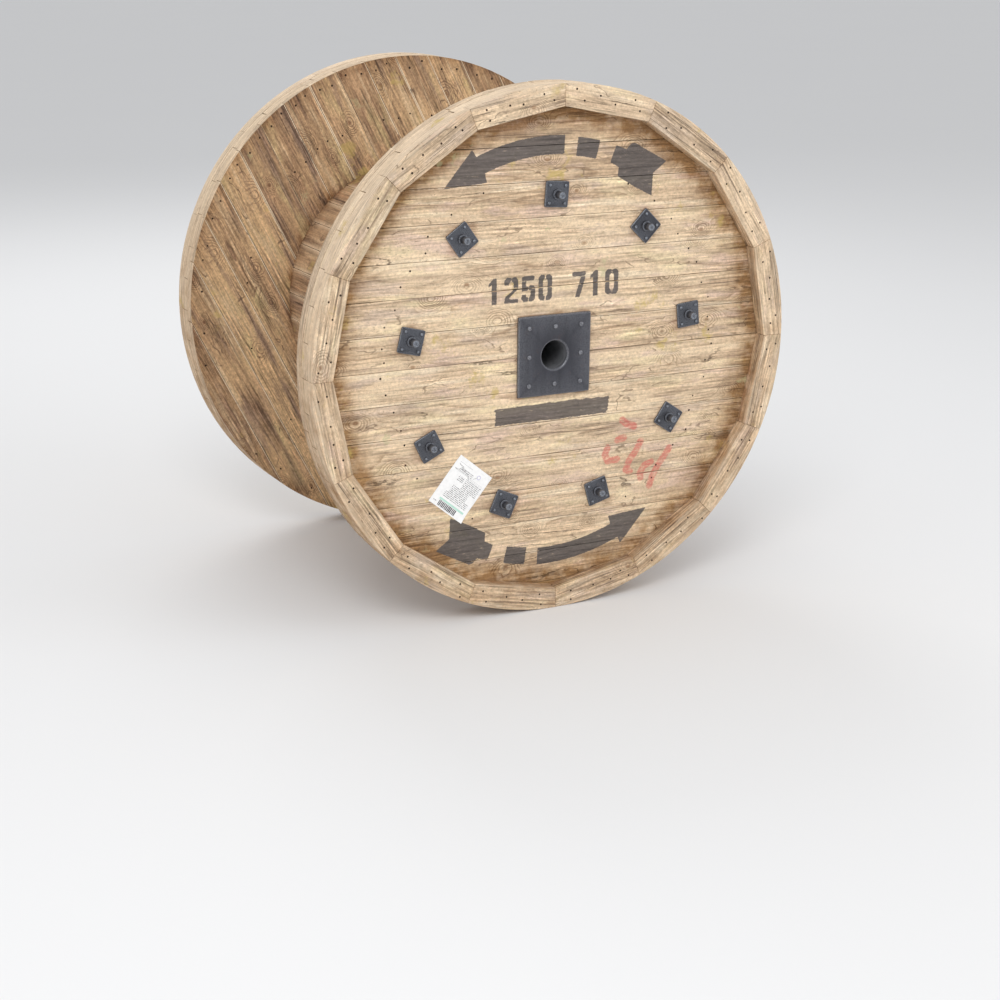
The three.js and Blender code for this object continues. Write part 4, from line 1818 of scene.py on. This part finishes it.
@dataclass
class Ironwork:
    """The centre plate and the stud plates of one flange, with their rivets."""

    side: Side
    plate_thickness: float = 0.008
    plate_chamfer: float = 0.006
    bore_chamfer: float = 0.0055
    corner_cut: float = 0.0012
    rivet_offset: float = 0.069
    rivet_radius: float = 0.0062
    rivet_rise: float = 0.0030
    stud_plate_thickness: float = 0.005
    stud_plate_chamfer: float = 0.0026
    stud_radius: float = 0.0085
    collar_radius: float = 0.0125
    stud_height: float = 0.026
    small_rivet_radius: float = 0.0041
    small_rivet_offset: float = 0.0203
    sizes: DrumSizes = SIZES

    def rivet(self, x: float, y: float, z: float, radius: float) -> bpy.types.Mesh:
        """A low domed rivet head.

        Args:
            x: place to the right.
            y: place upwards.
            z: height of the plate's face.
            radius: radius of the head.

        Returns:
            The rivet's mesh.
        """
        r, h = radius, self.rivet_rise
        mesh = turned([(r, -0.3 * h), (r, 0.12 * h), (0.93 * r, 0.46 * h), (0.74 * r, 0.78 * h),
                       (0.45 * r, 0.95 * h), (0.0, h), (0.0, -0.3 * h), (r, -0.3 * h)], 16)
        heights = coordinates(mesh)[:, 2]
        # the top of the dome is pale: rubbed, and a painted highlight
        write(mesh, arris=np.clip((heights / h - 0.2) * 1.5, 0, 0.9))
        mesh.transform(Matrix.Translation((x, y, z)))
        return mesh

    def outline(self, half: float, hole: float, count: int = 64) -> list[list[Vector]]:
        """Loops round a square and its hole, with one point for each step of a circle.

        Args:
            half: half the square's side.
            hole: radius of the hole, or 0 for none.
            count: points in a loop, a multiple of 8, so that the square has its corners.

        Returns:
            The loops.
        """
        square, ring = [], []
        for i in range(count):
            angle = FULL_TURN * i / count
            c, s = math.cos(angle), math.sin(angle)
            reach = half / max(abs(c), abs(s))
            if abs(abs(c) - abs(s)) < 1e-6:
                reach -= self.corner_cut
            square.append(Vector((c * reach, s * reach, 0)))
            ring.append(Vector((hole * c, hole * s, 0)))
        return [square, ring] if hole else [square]

    def plate(self, half: float, thickness: float, chamfer: float,
              hole: float = 0.0) -> bpy.types.Mesh:
        """A square plate with eased edges.

        Args:
            half: half its side.
            thickness: its thickness.
            chamfer: width of the slope along its edges.
            hole: radius of its round hole, or 0 for none.

        Returns:
            The plate's mesh, on z = 0, with its arris attribute.
        """
        bm, edges = bmesh.new(), []
        for loop in self.outline(half, hole):
            verts = [bm.verts.new(place) for place in loop]
            edges += [bm.edges.new(pair) for pair in zip(verts, verts[1:] + verts[:1])]
        if hole:
            bmesh.ops.bridge_loops(bm, edges=edges)
        else:
            bm.faces.new(verts)
        thicken(bm, thickness)

        def round_hole(ends: list[Vector]) -> Optional[bool]:
            """Tells if an edge is round the hole, or gives None for an edge of the foot."""
            upper = min(p.z for p in ends) > thickness / 2
            return max(p.xy.length for p in ends) < hole + 0.004 if upper else None

        ease_edges(bm, 60, round_hole, False, chamfer, 3, "WIDTH")
        if hole:
            ease_edges(bm, 60, round_hole, True, self.bore_chamfer, 3)
        mesh = solid_mesh(bm)
        x, y, z = coordinates(mesh).T
        worn = fall(half - np.maximum(np.abs(x), np.abs(y)), chamfer)
        if hole:
            worn = np.maximum(worn, fall(np.hypot(x, y) - hole, self.bore_chamfer))
        write(mesh, arris=worn * (z > thickness * 0.3))
        return mesh

    def centre_plate(self) -> None:
        """Makes the square plate round the bore, with eight rivets."""
        size, face = self.sizes, self.plate_thickness
        meshes = [self.plate(size.plate_half, face, self.plate_chamfer, size.bore_radius)]
        for column, row in product((-1, 0, 1), repeat=2):
            if column or row:
                meshes.append(self.rivet(column * self.rivet_offset, row * self.rivet_offset,
                                         face, self.rivet_radius))
        name = f"{self.side.value}_centre_plate"
        finish_piece(f"{name}_iron", meshes, self.side.matrix @ Matrix.Translation(
            Z * size.felloe_from), PLATE_IRON, name)

    def stud_plate(self, index: int) -> None:
        """Makes one small plate with its stud and four rivets.

        Args:
            index: counts the plates clockwise from 12 o'clock.
        """
        size, face = self.sizes, self.stud_plate_thickness
        tip, foot = face + self.stud_height, face - 0.001
        r, c = self.stud_radius, self.collar_radius
        stud = turned([(c, foot), (c, face + 0.0026), (c - 0.0005, face + 0.0036),
                       (c - 0.0016, face + 0.0041), (r + 0.0012, face + 0.0042),
                       (r, face + 0.0052), (r, tip - 0.0022), (r - 0.0005, tip - 0.0009),
                       (r - 0.0014, tip - 0.0002), (r - 0.0026, tip), (r - 0.0036, tip - 0.0004),
                       (0.0, tip - 0.0004), (0.0, foot), (c, foot)], 32)
        x, y, z = coordinates(stud).T
        worn = 0.85 * np.clip((z - tip + 0.0032) / 0.0018, 0, 1)
        worn *= np.where(np.hypot(x, y) > 0.0045, 1.0, 0.35)
        # the pale ring on the top of the collar is a painted highlight
        write(stud, arris=np.maximum(worn, 0.45 * (np.abs(z - face - 0.0041) < 0.0007)))
        meshes = [self.plate(size.stud_half, face, self.stud_plate_chamfer), stud]
        for right, up in product(HANDS, repeat=2):
            meshes.append(self.rivet(right * self.small_rivet_offset, up * self.small_rivet_offset,
                                     face, self.small_rivet_radius))
        angle = index * FULL_TURN / size.studs
        spot = Matrix.Translation((*clock(size.stud_circle, angle), size.felloe_from))
        turn = Matrix.Rotation(-(angle + math.radians(size.stud_twist)), 4, "Z")
        name = f"{self.side.value}_stud_plate_{index + 1}"
        finish_piece(f"{name}_iron", meshes, self.side.matrix @ spot @ turn, STUD_IRON, name)

    def build(self) -> None:
        """Makes all the plates of the flange."""
        self.centre_plate()
        for index in range(self.sizes.studs):
            self.stud_plate(index)


@dataclass
class Label:
    """A paper label pasted on the boards, with one corner that has come loose."""

    corner: Point = (-0.326, -0.318)
    width: float = 0.107
    height: float = 0.132
    right: Point = (0.772, -0.636)
    up: Point = (0.636, 0.772)
    paste: float = 0.00035
    thickness: float = 0.00015
    ripple: float = 0.00012
    curl: float = 0.0045  # lift of the loose lower right corner
    back_curl: float = 0.0012  # lift of the upper left corner
    sizes: DrumSizes = SIZES

    def build(self) -> None:
        """Cuts the label, curls it and pastes it on."""
        bm = bmesh.new()
        bmesh.ops.create_grid(bm, x_segments=24, y_segments=30, size=0.5)
        bmesh.ops.translate(bm, verts=bm.verts[:], vec=(0.5, 0.5, 0))
        bmesh.ops.scale(bm, verts=bm.verts[:], vec=(self.width, self.height, 1.0))
        uv = bm.loops.layers.uv.new("print")
        for loop in (loop for face in bm.faces for loop in face.loops):
            loop[uv].uv = loop.vert.co.xy / MM
        for vert in bm.verts:
            x, y = vert.co.x / self.width, vert.co.y / self.height
            ripple = self.ripple * noise.noise(Vector((x * 5, y * 5, 0.3)))
            lift = self.curl * max(0.0, x + (1 - y) - 1.72) ** 2 / 0.08
            lift += self.back_curl * max(0.0, (1 - x) + y - 1.80) ** 2 / 0.04
            vert.co.z = ripple + lift + self.paste
        bmesh.ops.solidify(bm, geom=bm.faces[:], thickness=self.thickness)
        bmesh.ops.recalc_face_normals(bm, faces=bm.faces[:])
        place = Matrix(((self.right[0], self.up[0], 0, self.corner[0]),
                        (self.right[1], self.up[1], 0, self.corner[1]),
                        (0, 0, 1, self.sizes.board_face), (0, 0, 0, 1)))
        finish_piece("paper_label", [solid_mesh(bm, 60.0)], Side.FRONT.matrix @ place,
                     LABEL_PAPER)


@dataclass
class Flange:
    """A flange: two crossed layers of boards, the felloe rim, ironwork and nails."""

    side: Side
    seed: int
    marks: Optional[FlangeMarks] = None
    sizes: DrumSizes = SIZES

    def build(self) -> None:
        """Builds every piece of the flange."""
        side, size = self.side.value, self.sizes
        BoardLayer(self.side, f"{side}_inner_boards", size.inner_turn, 0.0, BROWN_BOARDS,
                   self.seed + 1, show_top=False, tone_spread=1.3, ease=0.0010,
                   worn_width=0.0029).build()
        BoardLayer(self.side, f"{side}_outer_boards", 0.0, size.outer_from, PALE_BOARDS,
                   self.seed + 2, show_top=True, marks=self.marks).build()
        FelloeRing(self.side, self.seed + 3).build()
        Ironwork(self.side).build()
        NailField(self.side, self.seed + 5).build()


# --------------------------------------------------------------------------- barrel


@dataclass
class Barrel:
    """The winding barrel: a ring of staves, its two heads and the steel tube of the hub."""

    seed: int = 71
    ease: float = 0.0017
    short: Point = (0.0, 0.0009)  # range of how far a stave lies inside the round
    gap: float = 0.0010
    end_gap: float = 0.0003
    chip: float = 0.0005
    score_start: float = 0.03
    score_pitch: float = 0.035
    tube_ease: float = 0.0008
    tube_steps: int = 24
    sizes: DrumSizes = SIZES

    def stave(self, index: int) -> bpy.types.Mesh:
        """Saws and weathers one stave, standing on z = 0.

        Args:
            index: counts the staves clockwise.

        Returns:
            The stave's mesh, turned to its place round the axle.
        """
        size = self.sizes
        dice = random.Random(self.seed * 100 + index)
        half = math.pi / size.staves
        length = size.winding_width - 2 * self.end_gap
        bm = disc(size.barrel_radius - dice.uniform(*self.short), size.staves * 3)
        wedge(bm, half, self.gap, size.barrel_radius - size.stave_thickness)
        raise_and_ease(bm, length, self.ease)
        for z in np.arange(self.score_start, length, self.score_pitch):
            cut(bm, Z, z)
        mesh = solid_mesh(bm)
        places = coordinates(mesh)
        across, up, along = places.T.copy()
        radius = np.hypot(across, up)
        to_face = size.barrel_radius - radius
        side_gap = (half - np.abs(np.arctan2(across, up))) * radius - self.gap / 2
        arris = fall(side_gap, self.ease * 1.7) * fall(to_face, self.ease * 2.4)
        drop = self.chip * np.abs(wobble(along, 3.0, index + 0.3))
        places[:, 1] -= np.where(to_face < 0.012, drop, 0.0)
        nibble = self.chip * np.abs(wobble(along, 30.0, index + 9.0))
        near = (side_gap < self.ease) & (to_face < self.ease * 2)
        places[:, 0] -= np.where(near, np.sign(across) * nibble, 0.0)
        set_coordinates(mesh, places)
        # painted shade at both ends of each stave, where the barrel meets the flanges
        ends = np.minimum(along, length - along)
        write(mesh, grain=log_grain(dice, 0.04, 0.07, along, across, -to_face),
              tone=dice.uniform(-0.45, 0.45), arris=arris, rust=0.0,
              soil=np.clip(0.9 * np.exp(-ends / 0.02), 0, 1))
        mesh.transform(Matrix.Rotation(-(index + 0.5) * 2 * half, 4, "Z"))
        return mesh

    def tube(self, outer: float, length: float) -> bpy.types.Mesh:
        """Turns the hub tube, standing on z = 0.

        Args:
            outer: its outer radius.
            length: its length.

        Returns:
            The tube's mesh.
        """
        bore, ease, steps = self.sizes.bore_radius, self.tube_ease, self.tube_steps
        profile = [(bore + ease, 0), (outer - ease, 0), (outer, ease), (outer, length - ease),
                   (outer - ease, length), (bore + ease, length), (bore, length - ease)]
        profile += [(bore, length * (1 - k / steps)) for k in range(1, steps)]
        return turned([*profile, (bore, ease), profile[0]], 48)

    def build(self) -> None:
        """Builds the staves and the tube, and dresses the two hidden heads."""
        size = self.sizes
        upright = Side.BACK.matrix.copy()
        upright.translation = (0, -size.winding_width / 2 + self.end_gap, size.apothem)
        meshes = [self.stave(index) for index in range(size.staves)]
        finish_piece("barrel_staves_set", meshes, upright, STAVE_TIMBER, "barrel_staves")
        low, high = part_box("hub_tube")
        upright.translation = (0, low.y, size.apothem)
        tube = self.tube((high.x - low.x) / 2, high.y - low.y)
        finish_piece("hub_tube_steel", [tube], upright, TUBE_STEEL, "hub_tube")
        for side in Side:
            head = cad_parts[f"{side.value}_barrel_head"]
            dress(head, HEAD_TIMBER)
            log.info("%s: dressed as it is", head.name)


# --------------------------------------------------------------------------- studio


@dataclass(frozen=True)
class Camera:
    """The camera, in the drum's frame. Angles are in degrees."""

    place: tuple[float, float, float] = (-2.1492, -4.3699, 1.6483)
    heading: float = 27.0957
    pitch: float = -20.1291
    roll: float = 0.5672
    lens: float = 69.4657
    rise: float = 0.10

    def build(self) -> None:
        """Places the camera and makes it the scene's."""
        data = bpy.data.cameras.new("Camera")
        data.lens = self.lens
        data.sensor_width = 36.0
        data.sensor_fit = "HORIZONTAL"
        data.shift_y = self.rise
        data.clip_end = 200.0
        camera = add_object("Camera", data)
        turn = (Matrix.Rotation(math.radians(-self.heading), 4, "Z")
                @ Matrix.Rotation(math.radians(90 + self.pitch), 4, "X")
                @ Matrix.Rotation(math.radians(self.roll), 4, "Z"))
        camera.matrix_world = Matrix.Translation(self.place) @ turn
        bpy.context.scene.camera = camera


@dataclass(frozen=True)
class Studio:
    """A plain pale floor, a soft sky and three large lamps."""

    sky_colour: Colour = (0.97, 0.98, 1.0)
    sky_strength: float = 0.72
    seen_sky: float = 0.575
    floor_size: float = 120.0
    aim: tuple[float, float, float] = (0.0, 0.0, 0.6)

    def lamp(self, name: str, place: Sequence[float], size: float, power: float) -> None:
        """Hangs one square lamp that faces the drum.

        Args:
            name: its name.
            place: where it hangs.
            size: the length of its side.
            power: its power in watts.
        """
        data = bpy.data.lights.new(name, "AREA")
        data.shape = "SQUARE"
        data.size = size
        data.energy = power
        lamp = add_object(name, data)
        lamp.location = place
        aim = Vector(self.aim) - Vector(place)
        lamp.rotation_euler = aim.to_track_quat("-Z", "Y").to_euler()

    def sky(self) -> None:
        """Makes the world, which is as bright as the far floor where it is seen or mirrored."""
        world = bpy.data.worlds.new("Soft sky")
        bpy.context.scene.world = world
        world.use_nodes = True
        graph, background = Graph(world.node_tree), world.node_tree.nodes["Background"]
        path = {value.socket.name: value for value in graph.outputs("LightPath")}
        seen = path["Is Glossy Ray"].most(path["Is Transmission Ray"])
        seen = path["Is Camera Ray"].most(seen)
        graph.feed(background.inputs["Color"], self.sky_colour)
        graph.feed(background.inputs["Strength"],
                   seen.line(self.seen_sky - self.sky_strength, self.sky_strength))

    def build(self) -> None:
        """Lays the floor, hangs the lamps and sets the sky."""
        bm = bmesh.new()
        bmesh.ops.create_grid(bm, x_segments=1, y_segments=1, size=self.floor_size / 2)
        floor = add_object("studio_floor", solid_mesh(bm))
        dress(floor, FLOOR)
        self.sky()
        self.lamp("Key lamp", (-2.6, -4.2, 4.6), 2.6, 142.0)
        self.lamp("Fill lamp", (3.8, -3.4, 2.2), 3.0, 45.0)
        self.lamp("Back lamp", (0.5, 4.2, 4.4), 3.0, 80.0)
        bpy.context.scene.view_settings.view_transform = "Standard"


def main() -> None:
    """Builds the drum and the studio."""
    logging.basicConfig(level=logging.INFO, format="%(message)s")
    Camera().build()
    Studio().build()
    Barrel().build()
    Flange(Side.FRONT, 418, FlangeMarks()).build()
    Flange(Side.BACK, 20).build()
    Label().build()


if __name__ == "__main__":
    main()
